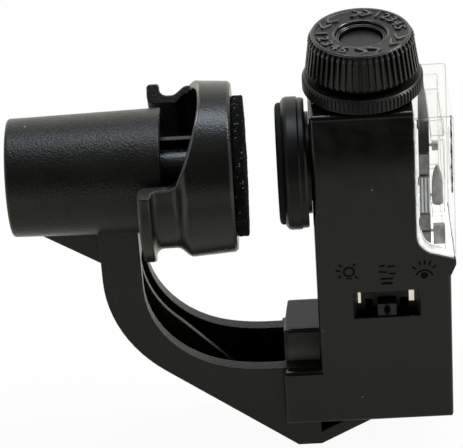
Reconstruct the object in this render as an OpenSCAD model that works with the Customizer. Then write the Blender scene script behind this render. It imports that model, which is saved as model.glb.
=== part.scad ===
// Clip-on phone microscope: a spring clip on a curved arm carries a small lit microscope.
// X runs along the optical axis towards the specimen, Z is up, and the phone sits at X below 0.
// The origin is the middle of the eyepiece's soft face.

/* [Microscope body] */
// Distance from the eyepiece face to the body
body_offset = 6; // [5.6:0.1:7]
// Width of the body along the optical axis
body_w = 24.4; // [24:0.1:27]
// Depth of the body, front to back
body_d = 18.8; // [18.6:0.1:21]
// Height of the body above the optical axis
body_top = 14.8; // [14.4:0.1:17]
// Depth of the body below the optical axis
body_drop = 52; // [51.4:0.2:56]
// Thickness of the housing walls
wall = 1.4; // [1.1:0.1:1.6]
// Rounding of the body's outer edges
edge_r = 0.9; // [0.6:0.1:1.4]
// Depth of the front cover, from the front face to the seam
cover_d = 5; // [4.6:0.1:6]
// Height of the foot that grips the arm
foot_h = 12; // [10:0.2:13]
// Reach of the foot's cheeks beyond the body
foot_reach = 7; // [6.6:0.1:8]
// Reach of the block between the cheeks
block_reach = 6.6; // [6:0.1:6.8]
// Height of that block
block_h = 18.8; // [16:0.2:20]
// Narrowing of the block towards the back
block_taper = 1; // [0:0.1:1.5]

/* [Clear stage] */
// Depth of the corner of the body that the stage fills
stage_inset = 6.2; // [5:0.1:6.4]
// How far the stage stands proud of the body
stage_proud = 0.9; // [0.4:0.1:1.5]
// Height of the stage above the optical axis
stage_top = 13.6; // [12:0.1:14]
// Depth of the shelf below the optical axis, at its inner end
shelf_drop = 15.3; // [14:0.1:15.8]
// Fall of the shelf towards its lip
shelf_fall = 1.1; // [0.6:0.1:1.8]
// Wall of the clear stage
stage_wall = 1.3; // [1:0.1:1.6]
// Radius of the specimen window
window_r = 5.2; // [4:0.1:6]

/* [Eyepiece] */
// Outer radius of the eyepiece ring
eyepiece_r = 12; // [11:0.1:13]
// Width of the eyepiece ring
eyepiece_w = 4.2; // [3.6:0.1:4.4]
// Outer radius of the rubber ring
rubber_r = 11; // [9.5:0.1:11]
// Thickness of the rubber ring
rubber_t = 1.1; // [0.9:0.1:1.3]
// Radius of the hole that the phone camera looks through
eye_r = 5; // [4.6:0.1:5.2]

/* [Dials] */
// Distance from the left side of the body to the dial axis
dial_offset = 9.9; // [9.6:0.1:10.6]
// Radius of the zoom wheel over its knurl
wheel_r = 10.7; // [10:0.1:11.5]
// Thickness of the zoom wheel
wheel_t = 2.8; // [2.4:0.1:3.2]
// Knurls round the zoom wheel
wheel_knurls = 84; // [72:4:96]
// Radius of the focus knob at its foot
knob_r = 10; // [9.5:0.1:10.6]
// Radius of the focus knob at its top
knob_top_r = 9.1; // [8.6:0.1:9.4]
// Height of the focus knob
knob_h = 6.6; // [6:0.1:7]
// Flutes round the focus knob
knob_flutes = 52; // [44:4:72]
// Radius of the recess in the knob's top
recess_r = 4.8; // [4.4:0.1:5.4]

/* [Rack and pinion] */
// Gear module of both pinions
gear_module = 0.4; // [0.36:0.01:0.42]
// Teeth of the zoom pinion
zoom_teeth = 14; // [13:1:14]
// Teeth of the focus pinion
focus_teeth = 9; // [8:1:10]
// Travel of the zoom lens
zoom_travel = 3.91; // [3:0.01:3.91]
// Travel of the objective each way
focus_travel = 1.25; // [0.8:0.01:1.25]

/* [Lamp switch] */
// Width of the switch window
switch_w = 12.3; // [11.6:0.1:13]
// Height of the switch window
switch_h = 5.8; // [5.4:0.1:6.4]
// Depth of the switch window
switch_depth = 2.4; // [2.1:0.1:2.8]
// Middle of the window below the optical axis
switch_drop = 25.4; // [25:0.1:26]
// Middle of the window from the left side of the body
switch_offset = 12.6; // [12:0.1:13]
// Width of the slider's grip
grip_w = 3.4; // [3:0.1:3.8]
// Travel of the slider each way
slide_travel = 2; // [1.5:0.1:2.2]

/* [Batteries] */
// Diameter of a button cell
cell_d = 11.6; // [11.4:0.1:11.8]
// Thickness of a button cell
cell_t = 3.05; // [2.9:0.05:3.1]
// Button cells in the stack
cell_count = 3; // [2:1:3]
// Middle of the cells below the optical axis
cell_drop = 40; // [39.6:0.1:40.4]

/* [Clip arm] */
// Depth of the arm, front to back
arm_d = 15.5; // [14.5:0.1:15.8]
// Thickness of the arm's side walls
arm_wall = 2.3; // [1.8:0.1:2.6]
// Thickness of the arm's outer skin
arm_skin = 2.4; // [2:0.1:3]
// Outer face of the arm's upright, left of the eyepiece face
leg_x = 32.8; // [32:0.1:34]
// Width of the upright
leg_w = 7.2; // [6.4:0.1:7.6]
// Radius of the arm's outer bend
bend_r = 26.5; // [25:0.1:28]
// Depth of the arm's inner edge below the optical axis
arm_drop = 39.9; // [39.4:0.1:40.4]
// Depth of the heel below the optical axis
heel_drop = 57.9; // [57:0.1:60]
// Length of the flat under the heel
heel_w = 4.4; // [3.6:0.1:5]
// Thickness of the web along the arm's channel
web_t = 1; // [0.8:0.1:1.6]
// Height of that web from the arm's outer face
web_h = 6.7; // [4:0.1:7]
// Thickness of the gusset under the barrel
gusset_t = 2.4; // [1.6:0.1:3]

/* [Spring barrel] */
// Closed end of the barrel, left of the eyepiece face
barrel_x = 48.8; // [48:0.1:51]
// Length of the barrel
barrel_len = 28.4; // [28:0.1:28.6]
// Radius of the barrel at its closed end
barrel_end_r = 10.7; // [10.4:0.1:11]
// Radius of the barrel at its mouth
barrel_mouth_r = 11.3; // [11:0.1:11.6]
// Radius of the barrel's bore
barrel_bore_r = 9.4; // [9:0.1:9.6]
// Crown of the closed end
barrel_crown = 0.65; // [0.3:0.05:1]

/* [Plunger] */
// Gap between pad and eyepiece at rest
phone_gap = 5.5; // [5:0.1:6.2]
// Thickness of the foam pad
pad_t = 2.2; // [1.8:0.1:2.6]
// Radius of the foam pad
pad_r = 12.9; // [12:0.1:13.6]
// Largest radius of the cup
cup_r = 15.9; // [15.4:0.1:16.2]
// Radius of the neck of the finger hooks
neck_r = 14.2; // [13.8:0.1:14.4]
// Radius of the lip of the finger hooks
lip_r = 16.5; // [16:0.1:17.2]
// Wall of the cup and its hooks
cup_wall = 1.5; // [1.2:0.1:1.7]
// Length of the plunger from its face to the end of the hooks
plunger_len = 17; // [16.4:0.1:17.4]
// Radius of the plunger's stem
stem_r = 4.5; // [4:0.1:4.8]
// Travel of the plunger
pull_travel = 10; // [8:0.1:10.2]
// Turns of the clip spring
spring_turns = 6; // [4:1:6]
// Thickness of the spring wire
wire_d = 1; // [0.8:0.05:1.1]

/* [Fits] */
// Gap of pieces that only sit together
seat_gap = 0.05; // [0.03:0.01:0.08]
// Radial gap of turning shafts
run_gap = 0.06; // [0.04:0.01:0.08]
// Gap of sliding pieces
slide_gap = 0.2; // [0.15:0.01:0.25]
// Play between the flanks of gear teeth
backlash = 0.12; // [0.08:0.01:0.16]

/* [Hidden] */
$fn = 64;
black = [0.10, 0.10, 0.09];
soft_black = [0.06, 0.06, 0.06];
clear_tint = [0.92, 0.95, 0.96, 0.35];
steel = [0.72, 0.72, 0.70];
gold = [0.86, 0.72, 0.42];
white = [0.93, 0.93, 0.90];

// Body faces and its inner room
body_x0 = body_offset;
body_x1 = body_x0 + body_w;
half_d = body_d / 2;
seam_y = -half_d + cover_d;
stage_x0 = body_x1 - stage_inset;
stage_x1 = body_x1 + stage_proud;
room_x0 = body_x0 + wall;
room_x1 = stage_x0 - wall;
room_y = half_d - wall;
room_z1 = body_top - wall;
room_z0 = -11.9;
lamp_room_z = [-30.2, -18];
dial_x = body_x0 + dial_offset;

// Foot, block and the slots that take the arm's side walls
foot_x0 = body_x0 - foot_reach;
foot_top = foot_h - body_drop;
block_x0 = body_x0 - block_reach;
block_top = block_h - body_drop;
arm_half = arm_d / 2;
channel_half = arm_half - arm_wall;
arm_end = body_x0 - 0.5;

// Shelf under the clear stage
shelf_r = 4.2;
shelf_z0 = -shelf_drop;
shelf_z1 = -shelf_drop - shelf_fall;
lip_t = 1.1;
hood_floor = 0.9;
hood_c = [stage_x0 + seat_gap + shelf_r, shelf_z0 + seat_gap + shelf_r];

// Eyepiece stations along X
ring_x1 = rubber_t + eyepiece_w;
eye_bore_r = eye_r + 0.5;
eye_seat_r = eye_r - 0.5;
collar_r = 6.9;
flange_r = 7.6;
flange_t = 0.9;
eye_lens_x = rubber_t + 3.2;
eye_lens_t = 2;

// Dial stations along Z
wheel_z0 = body_top + 0.5;
wheel_z1 = wheel_z0 + wheel_t;
knob_boss_z = wheel_z1 + 0.3;
knob_z0 = wheel_z1 + 1.6;
knob_z1 = knob_z0 + knob_h;
knob_boss_r = knob_top_r - 0.7;
knob_rim = 0.35;
knob_dish = 0.5;
cap_step = knob_dish + 0.8;
cap_depth = knob_dish + 1.4;
cap_r = recess_r - 0.9;
cap_t = 0.9;
screw_head_t = 1.1;
shaft_r = 1.3;
sleeve_r = 2.2;
shaft_z1 = knob_z1 - cap_depth - cap_t - screw_head_t - 2 * seat_gap;

// Pinions, racks and lens carriages
pressure = 30;
addendum = 0.9 * gear_module;
dedendum = 1.25 * gear_module;
zoom_pitch_r = gear_module * zoom_teeth / 2;
focus_pitch_r = gear_module * focus_teeth / 2;
rack_pitch = PI * gear_module;
gear_t = 2;
zoom_gear_z = room_z1 - slide_gap - 1.5 - gear_t;
focus_gear_z = zoom_gear_z - 0.9 - gear_t;
rack_back = 1.5;
zoom_x0 = room_x0 + flange_t + 0.7;
zoom_len = 3;
zoom_ring_r = 5.2;
objective_len = 2.4;
objective_x0 = room_x1 - objective_len - focus_travel - 0.5;
objective_ring_r = 4.2;
nose_r = 2.9;
nose_len = 4;
lens_t = 1.6;
rail_z = 1.9;
rail_t = 1;
rail_y = room_y - 1.4;

// Lamps
board_x0 = objective_x0 + 0.8;
board_t = 0.8;
board_z = [-11.2, -5.3];
lamp_y = 4;
lamp_z = -7.7;
lamp_r = 1.5;
holder_x = stage_x0 + 0.85;
holder_t = 1.9;
holder_slant = 1;
holder_notches = [5.2, 0.6, -7.5, -11.2];

// Switch
switch_x = body_x0 + switch_offset;
switch_z = -switch_drop;
switch_y = -half_d + switch_depth;
plate_t = 0.4;
switch_box_d = 3.6;
terminal_left = 5.2;
terminal_right = 4.1;
terminal_thin = 0.5;
terminal_wide = 0.95;
terminal_t = 0.35;
terminal_low = 2;
terminal_high = 4.2;
grip_h = 3;
stem_h = 2.2;
grip_z0 = switch_z - switch_h / 2 + slide_gap;
slot_w = grip_w + 2 * slide_travel + 2 * slide_gap;

// Batteries and their door
cell_x = switch_x;
cell_z = -cell_drop;
cell_r = cell_d / 2;
door_t = 1.5;
tongue_t = 0.8;
door_y0 = half_d - door_t;
cell_y1 = door_y0 - slide_gap;
cell_y0 = cell_y1 - cell_count * cell_t;
contact_t = 0.25;
strip_half = cell_r * 0.345;
door_x0 = cell_x - cell_r - 1.6;
door_z0 = cell_z - cell_r - 2.6;
door_z1 = cell_z + cell_r + 2.6;

// Screws through the body and the foot
screw_r = 0.8;
screw_head_r = 1.6;
screw_head_h = 0.9;
boss_r = 2;
boss_in = boss_r - 0.5;
screw_x = [room_x0 + boss_in, body_x1 - wall - boss_in];
screw_z = [lamp_room_z[1] - boss_in, lamp_room_z[0] + boss_in];
arm_screw_x = (block_x0 + arm_end) / 2;
arm_screw_z = [for (t = [0.25, 0.75]) -arm_drop - t * (body_drop - arm_drop)];

// Arm outline
leg_x0 = -leg_x;
leg_x1 = leg_x0 + leg_w;
heel_z = -heel_drop;
heel_x1 = arm_end;
heel_x0 = heel_x1 - heel_w;
bend_c = [leg_x0 + bend_r, -18.3];
heel_v = [heel_x0, heel_z] - bend_c;
bend_a = atan2(heel_v.y, heel_v.x) - acos(bend_r / norm(heel_v)) + 360;
inner_r = 19;
sweep_r = 34;
sweep_c = [-3.5, sweep_r - arm_drop];
inner_cx = leg_x1 + inner_r;
inner_c = [inner_cx, sweep_c.y - sqrt(pow(sweep_r - inner_r, 2) - pow(inner_cx - sweep_c.x, 2))];
sweep_a = atan2(inner_c.y - sweep_c.y, inner_c.x - sweep_c.x) + 360;

// Barrel stations along X
barrel_x0 = -barrel_x;
mouth_x = barrel_x0 + barrel_len;
barrel_floor_x = barrel_x0 + 1.9;
bush_t = 3;
bush_x0 = mouth_x - 7;

// Plunger stations along X
pad_x1 = -phone_gap;
face_x = pad_x1 - pad_t;
plate_x = face_x - 2;
hook_x = face_x - plunger_len;
neck_x = hook_x + 6.8;
lip_w = 2.3;
rear_short = 1.6;
flare_r = 1.4;
leg_gap = 0.65;
fin_w = 1.2;
fin_h = 6.6;
tail_x = bush_x0 - 0.1;
retainer_t = 1.5;
retainer_r = 8.6;
retainer_head_r = 3.6;
retainer_head_t = 1.3;
retainer_thread = 5;
tail_r = 2.5;
spring_r = 6.2;
spring_x0 = barrel_floor_x + wire_d / 2 + seat_gap;
spring_x1 = tail_x - retainer_t - wire_d / 2 - seat_gap;
ear_z = 4;
ear_cut = 40;
grip_y = 0.3;

// Points of an arc about c
function arc(c, r, a0, a1, n = 6) =
    [for (i = [0:n]) let (a = a0 + (a1 - a0) * i / n) c + r * [cos(a), sin(a)]];

// Outline of a rectangle with round corners
function round_rect(lo, hi, r) = concat(
    arc([hi.x - r, hi.y - r], r, 0, 90),
    arc([lo.x + r, hi.y - r], r, 90, 180),
    arc([lo.x + r, lo.y + r], r, 180, 270),
    arc([hi.x - r, lo.y + r], r, 270, 360));

// Smooth step from a to b over n points, as [radius, station] pairs
function ease(a, b, x0, x1, n = 8) =
    [for (i = [0:n]) let (s = i / n) [a + (b - a) * (1 - cos(180 * s)) / 2, x0 + (x1 - x0) * s]];

// Prisms along X, Y and Z from outlines in YZ, XZ and XY
module prism_x(points, x0, x1) {
    translate([x0, 0, 0]) rotate([90, 0, 90]) linear_extrude(height = x1 - x0) polygon(points);
}

module prism_y(points, y0, y1) {
    translate([0, y1, 0]) rotate([90, 0, 0]) linear_extrude(height = y1 - y0) polygon(points);
}

module prism_z(points, z0, z1) {
    translate([0, 0, z0]) linear_extrude(height = z1 - z0) polygon(points);
}

// Box between two corners
module box(lo, hi) {
    translate(lo) cube(hi - lo);
}

// Rods along X, Y and Z
module rod_x(x0, x1, r, y = 0, z = 0) {
    translate([x0, y, z]) rotate([0, 90, 0]) cylinder(h = x1 - x0, r = r);
}

module rod_y(y0, y1, r, x, z) {
    translate([x, y1, z]) rotate([90, 0, 0]) cylinder(h = y1 - y0, r = r);
}

module rod_z(z0, z1, r, x = dial_x, y = 0) {
    translate([x, y, z0]) cylinder(h = z1 - z0, r = r);
}

// Solid turned about X from [radius, station] pairs
module turn_x(points) {
    rotate([0, 90, 0]) rotate_extrude() polygon(points);
}

// Box with all its edges rounded
module soft_box(lo, hi, r) {
    intersection() {
        prism_x(round_rect([lo.y, lo.z], [hi.y, hi.z], r), lo.x, hi.x);
        prism_y(round_rect([lo.x, lo.z], [hi.x, hi.z], r), lo.y, hi.y);
        prism_z(round_rect([lo.x, lo.y], [hi.x, hi.y], r), lo.z, hi.z);
    }
}

// Shelf curve from the body's top corner down to the lip, raised by gap
function shelf_line(gap) = concat(
    arc([stage_x0 + gap + shelf_r, shelf_z0 + gap + shelf_r], shelf_r, 180, 252),
    [[stage_x1, shelf_z1 + gap]]);

// Corner of the body that the clear stage fills
module stage_corner() {
    prism_y(concat([[stage_x0, body_top + 1]], shelf_line(0),
        [[stage_x1 + 1, shelf_z1], [stage_x1 + 1, body_top + 1]]), -half_d - 1, half_d + 1);
}

// Lip at the outer end of the shelf
module shelf_lip() {
    intersection() {
        prism_y([[stage_x0 + 2, shelf_z1], [stage_x1, shelf_z1], [stage_x1, shelf_z1 - lip_t],
            [body_x1, shelf_z1 - lip_t - 2.2], [stage_x0 + 2, shelf_z1 - lip_t - 2.2]], -half_d, half_d);
        prism_x(round_rect([-half_d, -body_drop], [half_d, body_top], edge_r), stage_x0, stage_x1);
    }
}

// Block between the arm's walls, a little narrower at the back
module foot_block() {
    half = channel_half - seat_gap;
    intersection() {
        prism_x(round_rect([-half, -body_drop], [half, block_top], edge_r), block_x0, body_x0 + 3);
        prism_y(round_rect([block_x0, -body_drop], [body_x0 + 3, block_top], edge_r), -half, half);
        prism_z([[body_x0 + 3, -half], [body_x0 + 3, half], [block_x0 + block_taper + edge_r, half],
            [block_x0 + block_taper, half - edge_r], [block_x0, -half + edge_r], [block_x0 + edge_r, -half]],
            -body_drop, block_top);
    }
}

// Foot: two cheeks and the block between them, with a slot for each wall of the arm
module foot() {
    difference() {
        union() {
            soft_box([foot_x0, -half_d, -body_drop], [body_x0 + 3, half_d, foot_top], edge_r);
            foot_block();
        }
        for (s = [-1, 1])
            box([foot_x0 - 1, s * arm_half - (s > 0 ? arm_wall : 0) - seat_gap, -body_drop - 1],
                [arm_end + seat_gap, s * arm_half + (s < 0 ? arm_wall : 0) + seat_gap, foot_top + 1]);
        box([foot_x0 - 1, -channel_half, -body_drop - 1], [block_x0, channel_half, foot_top + 1]);
    }
}

// Outside of the two housings together
module body_outside() {
    difference() {
        soft_box([body_x0, -half_d, -body_drop], [body_x1, half_d, body_top], edge_r);
        stage_corner();
    }
    shelf_lip();
    foot();
}

// Window of the switch, with bevelled ends
module switch_window() {
    bevel = 0.9;
    low = switch_z - switch_h / 2;
    prism_z([[switch_x - switch_w / 2, -half_d - 1], [switch_x + switch_w / 2, -half_d - 1],
        [switch_x + switch_w / 2, -half_d], [switch_x + switch_w / 2 - bevel, switch_y],
        [switch_x - switch_w / 2 + bevel, switch_y], [switch_x - switch_w / 2, -half_d]],
        low, low + switch_h);
}

// Room behind the window for the switch itself
module switch_room() {
    box([switch_x - switch_w / 2 - 0.4, switch_y, switch_z - switch_h / 2 - 1.2],
        [switch_x + switch_w / 2 + 0.4, room_y - 2, switch_z + switch_h / 2 + 1.2]);
}

// Opening for the door, as wide as its tongues below the outer skin
module door_shape(gap) {
    box([door_x0 - gap, door_y0 - gap, door_z0 - 1 - gap],
        [stage_x1, door_y0 + tongue_t + gap, door_z1 + 1 + gap]);
    box([door_x0 - gap, door_y0, door_z0 - gap], [stage_x1, half_d + 1, door_z1 + gap]);
}

// Everything hollow inside the two housings
module body_inside() {
    box([room_x0, -room_y, room_z0], [room_x1, room_y, room_z1]);
    box([room_x0, -room_y, lamp_room_z[0]], [body_x1 - wall, room_y, lamp_room_z[1]]);
    rod_x(body_x0 - 1, room_x0 + 1, collar_r + seat_gap);
    rod_x(room_x1 - 1, stage_x0 + 1, nose_r + slide_gap);
    for (s = [-1, 1])
        rod_x(room_x1 - 1, stage_x0 + 1, lamp_r + seat_gap, s * lamp_y, lamp_z);
    rod_z(room_z1 - 1, body_top + 1, sleeve_r + run_gap);
    rod_y(cell_y0 - contact_t - seat_gap, half_d + 1, cell_r + slide_gap, cell_x, cell_z);
}

// Rails for the lens carriages and seats for the lamp board, on one side wall
module inner_ribs(side) {
    root = 0.3;
    y0 = side > 0 ? rail_y : -room_y - root;
    y1 = side > 0 ? room_y + root : -rail_y;
    for (s = [-1, 1])
        box([room_x0 + flange_t + 0.2, y0, s > 0 ? rail_z : -rail_z - rail_t],
            [room_x1 + root, y1, s > 0 ? rail_z + rail_t : -rail_z]);
    for (x = [board_x0 - seat_gap - rail_t, board_x0 + board_t + seat_gap])
        box([x, y0, room_z0 - root], [x + rail_t, y1, board_z[1]]);
}

// Bosses that the housing screws go through
module screw_bosses(y0, y1) {
    for (x = screw_x, z = screw_z)
        rod_y(y0, y1, boss_r, x, z);
}

module front_housing() color(black) {
    difference() {
        union() {
            difference() {
                intersection() {
                    body_outside();
                    box([foot_x0 - 1, -half_d - 1, -body_drop - 1], [stage_x1 + 1, seam_y, body_top + 1]);
                }
                body_inside();
            }
            inner_ribs(-1);
            screw_bosses(-room_y - 0.3, seam_y);
            box([switch_x - switch_w / 2 - 1.2, -room_y - 0.3, switch_z - switch_h / 2 - 1.2],
                [switch_x + switch_w / 2 + 1.2, switch_y, switch_z + switch_h / 2 + 1.2]);
        }
        switch_window();
        switch_room();
        for (x = screw_x, z = screw_z)
            rod_y(-room_y + 0.8, seam_y + 1, screw_r + seat_gap / 2, x, z);
    }
}

module rear_housing() color(black) {
    difference() {
        union() {
            difference() {
                intersection() {
                    body_outside();
                    box([foot_x0 - 1, seam_y, -body_drop - 1], [stage_x1 + 1, half_d + 1, body_top + 1]);
                }
                body_inside();
            }
            inner_ribs(1);
            screw_bosses(seam_y, room_y + 0.3);
        }
        door_shape(seat_gap);
        // way for the strip as the door slides
        box([cell_x, cell_y1 - seat_gap, cell_z - cell_r + 1 - slide_gap],
            [stage_x1, door_y0, cell_z + cell_r - 1 + slide_gap]);
        switch_room();
        for (x = screw_x, z = screw_z) {
            rod_y(seam_y - 1, half_d + 1, screw_r + seat_gap, x, z);
            rod_y(half_d - wall + 0.1, half_d + 1, screw_head_r + 0.2, x, z);
        }
        for (z = arm_screw_z) {
            rod_y(0.4, half_d + 1, screw_r + seat_gap, arm_screw_x, z);
            rod_y(half_d - 1, half_d + 1, screw_head_r + 0.2, arm_screw_x, z);
        }
    }
}

// Clear specimen stage: an open-backed hood with a round window in its outer face
module clear_stage() color(clear_tint) {
    x0 = stage_x0 + seat_gap;
    face_t = 1.7;
    difference() {
        prism_y(concat([[x0, stage_top]], shelf_line(seat_gap),
            arc([stage_x1 - 0.7, stage_top - 0.6], 0.6, 0, 90, 4)), -half_d, half_d);
        prism_y(concat([[x0 - 1, stage_top - stage_wall], [x0 - 1, hood_c.y]],
            arc(hood_c, shelf_r - hood_floor, 180, 252),
            [[stage_x1 - face_t, shelf_z1 + 1.5], [stage_x1 - face_t, stage_top - stage_wall]]),
            -half_d + stage_wall, half_d - stage_wall);
        rod_x(stage_x1 - face_t - 1, stage_x1 + 1, window_r);
    }
    for (z = [shelf_z0 + shelf_r + 3.4, stage_top - 5.4])
        box([x0 + 3, -half_d + stage_wall / 2, z], [stage_x1 - face_t / 2, half_d - stage_wall / 2, z + 0.8]);
}

module eyepiece_barrel() color(black) {
    turn_x([
        [eye_bore_r, rubber_t], [eyepiece_r - 0.8, rubber_t], [eyepiece_r - 0.15, rubber_t + 0.5],
        [eyepiece_r, rubber_t + 1], [eyepiece_r, ring_x1 - 1.4], [eyepiece_r - 0.25, ring_x1 - 1.2],
        [eyepiece_r - 0.25, ring_x1 - 0.4], [eyepiece_r - 0.5, ring_x1],
        [9.2, ring_x1], [9.2, body_x0 - seat_gap], [collar_r, body_x0 - seat_gap],
        [collar_r, room_x0 + seat_gap], [flange_r, room_x0 + seat_gap], [flange_r, room_x0 + flange_t],
        [eye_seat_r, room_x0 + flange_t], [eye_seat_r, eye_lens_x + eye_lens_t + seat_gap],
        [eye_bore_r, eye_lens_x + eye_lens_t + seat_gap]
    ]);
}

module eyepiece_rubber_ring() color(soft_black) {
    turn_x([
        [eye_r, 0], [rubber_r - 0.9, 0], [rubber_r - 0.3, 0.15], [rubber_r, 0.5],
        [rubber_r, rubber_t], [eye_r, rubber_t]
    ]);
}

// Lens with two bulging faces
module lens(x0, t, r, bulge) {
    turn_x(concat([[0, x0 - bulge]], [for (i = [1:6]) [r * i / 6, x0 - bulge * (1 - pow(i / 6, 2))]],
        [for (i = [6:-1:1]) [r * i / 6, x0 + t + bulge * (1 - pow(i / 6, 2))]], [[0, x0 + t + bulge]]));
}

module eyepiece_lens() color(clear_tint)
    lens(eye_lens_x + 0.3, eye_lens_t - 0.5, eye_bore_r - seat_gap, 0.5);

// Outline with n trapezoid ribs between two radii
function ribbed(root, tip, n) = [for (i = [0:n - 1], k = [0:3])
    let (a = 360 / n * (i + [-0.34, -0.16, 0.16, 0.34][k]), r = k == 0 || k == 3 ? root : tip)
    r * [cos(a), sin(a)]];

module zoom_wheel() color(black) translate([dial_x, 0, 0]) {
    difference() {
        intersection() {
            translate([0, 0, wheel_z0]) linear_extrude(height = wheel_t)
                polygon(ribbed(wheel_r - 0.3, wheel_r, wheel_knurls));
            rotate_extrude() polygon([[0, wheel_z0 - 1], [wheel_r - 0.5, wheel_z0 - 1],
                [wheel_r - 0.5, wheel_z0], [wheel_r + 0.1, wheel_z0 + 0.5], [wheel_r + 0.1, wheel_z1 - 0.6],
                [wheel_r - 0.5, wheel_z1], [wheel_r - 0.5, wheel_z1 + 1], [0, wheel_z1 + 1]]);
        }
        translate([0, 0, wheel_z1 - 0.4]) cylinder(h = 1, r = knob_boss_r + 1);
        translate([0, 0, wheel_z0 - 1]) cylinder(h = wheel_t + 2, r = sleeve_r + seat_gap / 2);
    }
}

// Involute of a base circle: the angle between a flank's start and its point at radius r
function inv(base, r) = let (a = acos(min(1, base / r))) tan(a) * 180 / PI - a;

// Half the angle that a pinion tooth spans at radius r
function tooth_half(n, r) = let (p = gear_module * n / 2, base = p * cos(pressure))
    90 / n - backlash / 4 / p * 180 / PI + inv(base, p) - inv(base, max(r, base));

// Outline of a pinion with one tooth on the Y axis
function pinion_outline(n) = let (p = gear_module * n / 2, root = p - dedendum, tip = p + addendum)
    [for (i = [0:n - 1], s = [-1, 1], k = [0:4])
        let (r = root + (tip - root) * (s < 0 ? k : 4 - k) / 4, a = 90 + 360 / n * i + s * tooth_half(n, r))
        r * [cos(a), sin(a)]];

module pinion(n, z0, turn) {
    translate([dial_x, 0, z0]) rotate([0, 0, turn]) linear_extrude(height = gear_t)
        polygon(pinion_outline(n));
}

// Rack along X with a gap between teeth at x, its teeth pointing to -Y
module rack(x0, x1, x, pitch_y, z0) {
    root = pitch_y + dedendum;
    half = rack_pitch / 4 - backlash / 4;
    first = ceil((x0 + half * 2 - x) / rack_pitch - 0.5);
    last = floor((x1 - half * 2 - x) / rack_pitch - 0.5);
    teeth = [for (i = [first:last], k = [0:3])
        let (c = x + rack_pitch * (i + 0.5), reach = k == 0 || k == 3 ? -dedendum : addendum)
        [c + (k < 2 ? -1 : 1) * (half - reach * tan(pressure)), pitch_y - reach]];
    prism_z(concat([[x0, root + rack_back], [x0, root]], teeth, [[x1, root], [x1, root + rack_back]]),
        z0, z0 + gear_t);
}

module zoom_sleeve() color(black) difference() {
    union() {
        rod_z(zoom_gear_z, wheel_z1 - 0.4, sleeve_r);
        pinion(zoom_teeth, zoom_gear_z, 0);
    }
    rod_z(zoom_gear_z - 1, wheel_z1 + 1, shaft_r + run_gap);
}

// Lens carriage: a ring, two wings that ride between the rails and a post up to the rack
module carriage(x0, len, ring_r, bore_r, post_lo, post_hi, post_z) {
    difference() {
        union() {
            rod_x(x0, x0 + len, ring_r);
            box([x0, -room_y + slide_gap, -rail_z + slide_gap],
                [x0 + len, room_y - slide_gap, rail_z - slide_gap]);
            box([x0, post_lo, 0], [x0 + len, post_hi, post_z]);
        }
        rod_x(x0 - 1, x0 + len + 1, bore_r);
    }
}

module zoom_carriage() color(black) {
    back = zoom_pitch_r + dedendum;
    carriage(zoom_x0, zoom_len, zoom_ring_r, zoom_ring_r - 1.2, back, back + rack_back, zoom_gear_z + gear_t);
    rack(zoom_x0 + zoom_len, dial_x + zoom_pitch_r, dial_x, zoom_pitch_r, zoom_gear_z);
}

module zoom_lens() color(clear_tint)
    lens(zoom_x0 + (zoom_len - lens_t) / 2, lens_t, zoom_ring_r - 1.2 - seat_gap, 0.4);

// Fluted skin of the knob over a core that leaves the flutes deepest at the shoulder
module knob_body() {
    intersection() {
        union() {
            translate([0, 0, knob_z0]) linear_extrude(height = knob_h, scale = knob_top_r / knob_r)
                polygon(ribbed(knob_r - 1.4, knob_r, knob_flutes));
            rotate_extrude() polygon([[0, knob_z0], [knob_r - 0.45, knob_z0],
                [knob_top_r - 0.5, knob_z1 - 2.2], [knob_top_r - 1, knob_z1 - 0.1], [0, knob_z1 - 0.1]]);
        }
        rotate_extrude() polygon(concat(
            [[0, knob_z0 - 1], [knob_r + 1, knob_z0 - 1], [knob_r + 1, knob_z1 - 2]],
            [for (a = [0:15:75]) [knob_top_r - 1.3 + 1.5 * cos(a), knob_z1 - 1.55 + 1.5 * sin(a)]],
            [[knob_top_r - 1.3, knob_z1 - knob_rim], [recess_r, knob_z1 - knob_dish],
             [0, knob_z1 - knob_dish]]));
    }
}

module focus_knob() color(black) translate([dial_x, 0, 0]) {
    difference() {
        union() {
            knob_body();
            translate([0, 0, knob_boss_z]) cylinder(h = knob_z0 - knob_boss_z + 1, r = knob_boss_r);
        }
        translate([0, 0, knob_z1 - cap_step]) cylinder(h = 2, r = recess_r);
        translate([0, 0, knob_z1 - cap_depth - cap_t - seat_gap]) cylinder(h = 3, r = cap_r + seat_gap);
        translate([0, 0, shaft_z1]) cylinder(h = 3, r = 2.1);
        translate([0, 0, knob_boss_z - 1]) cylinder(h = knob_h + 3, r = shaft_r + seat_gap / 2);
    }
}

module knob_cap() color(black) translate([dial_x, 0, knob_z1 - cap_depth - cap_t]) rotate_extrude()
    polygon([[0, 0], [cap_r, 0], [cap_r, cap_t - 0.3], [cap_r - 0.3, cap_t], [0, cap_t]]);

module knob_screw() color(steel) difference() {
    union() {
        rod_z(shaft_z1 + seat_gap, shaft_z1 + seat_gap + screw_head_t, 2);
        rod_z(shaft_z1 - 4, shaft_z1 + seat_gap + 0.1, 0.7);
    }
    for (a = [0, 90])
        translate([dial_x, 0, shaft_z1 + seat_gap + screw_head_t]) rotate([0, 0, a])
            cube([2.4, 0.5, 1], center = true);
}

module focus_shaft() color(steel) difference() {
    union() {
        rod_z(focus_gear_z, shaft_z1, shaft_r);
        pinion(focus_teeth, focus_gear_z, 180);
    }
    rod_z(shaft_z1 - 4.2, shaft_z1 + 1, 0.7 + seat_gap / 2);
}

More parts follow.
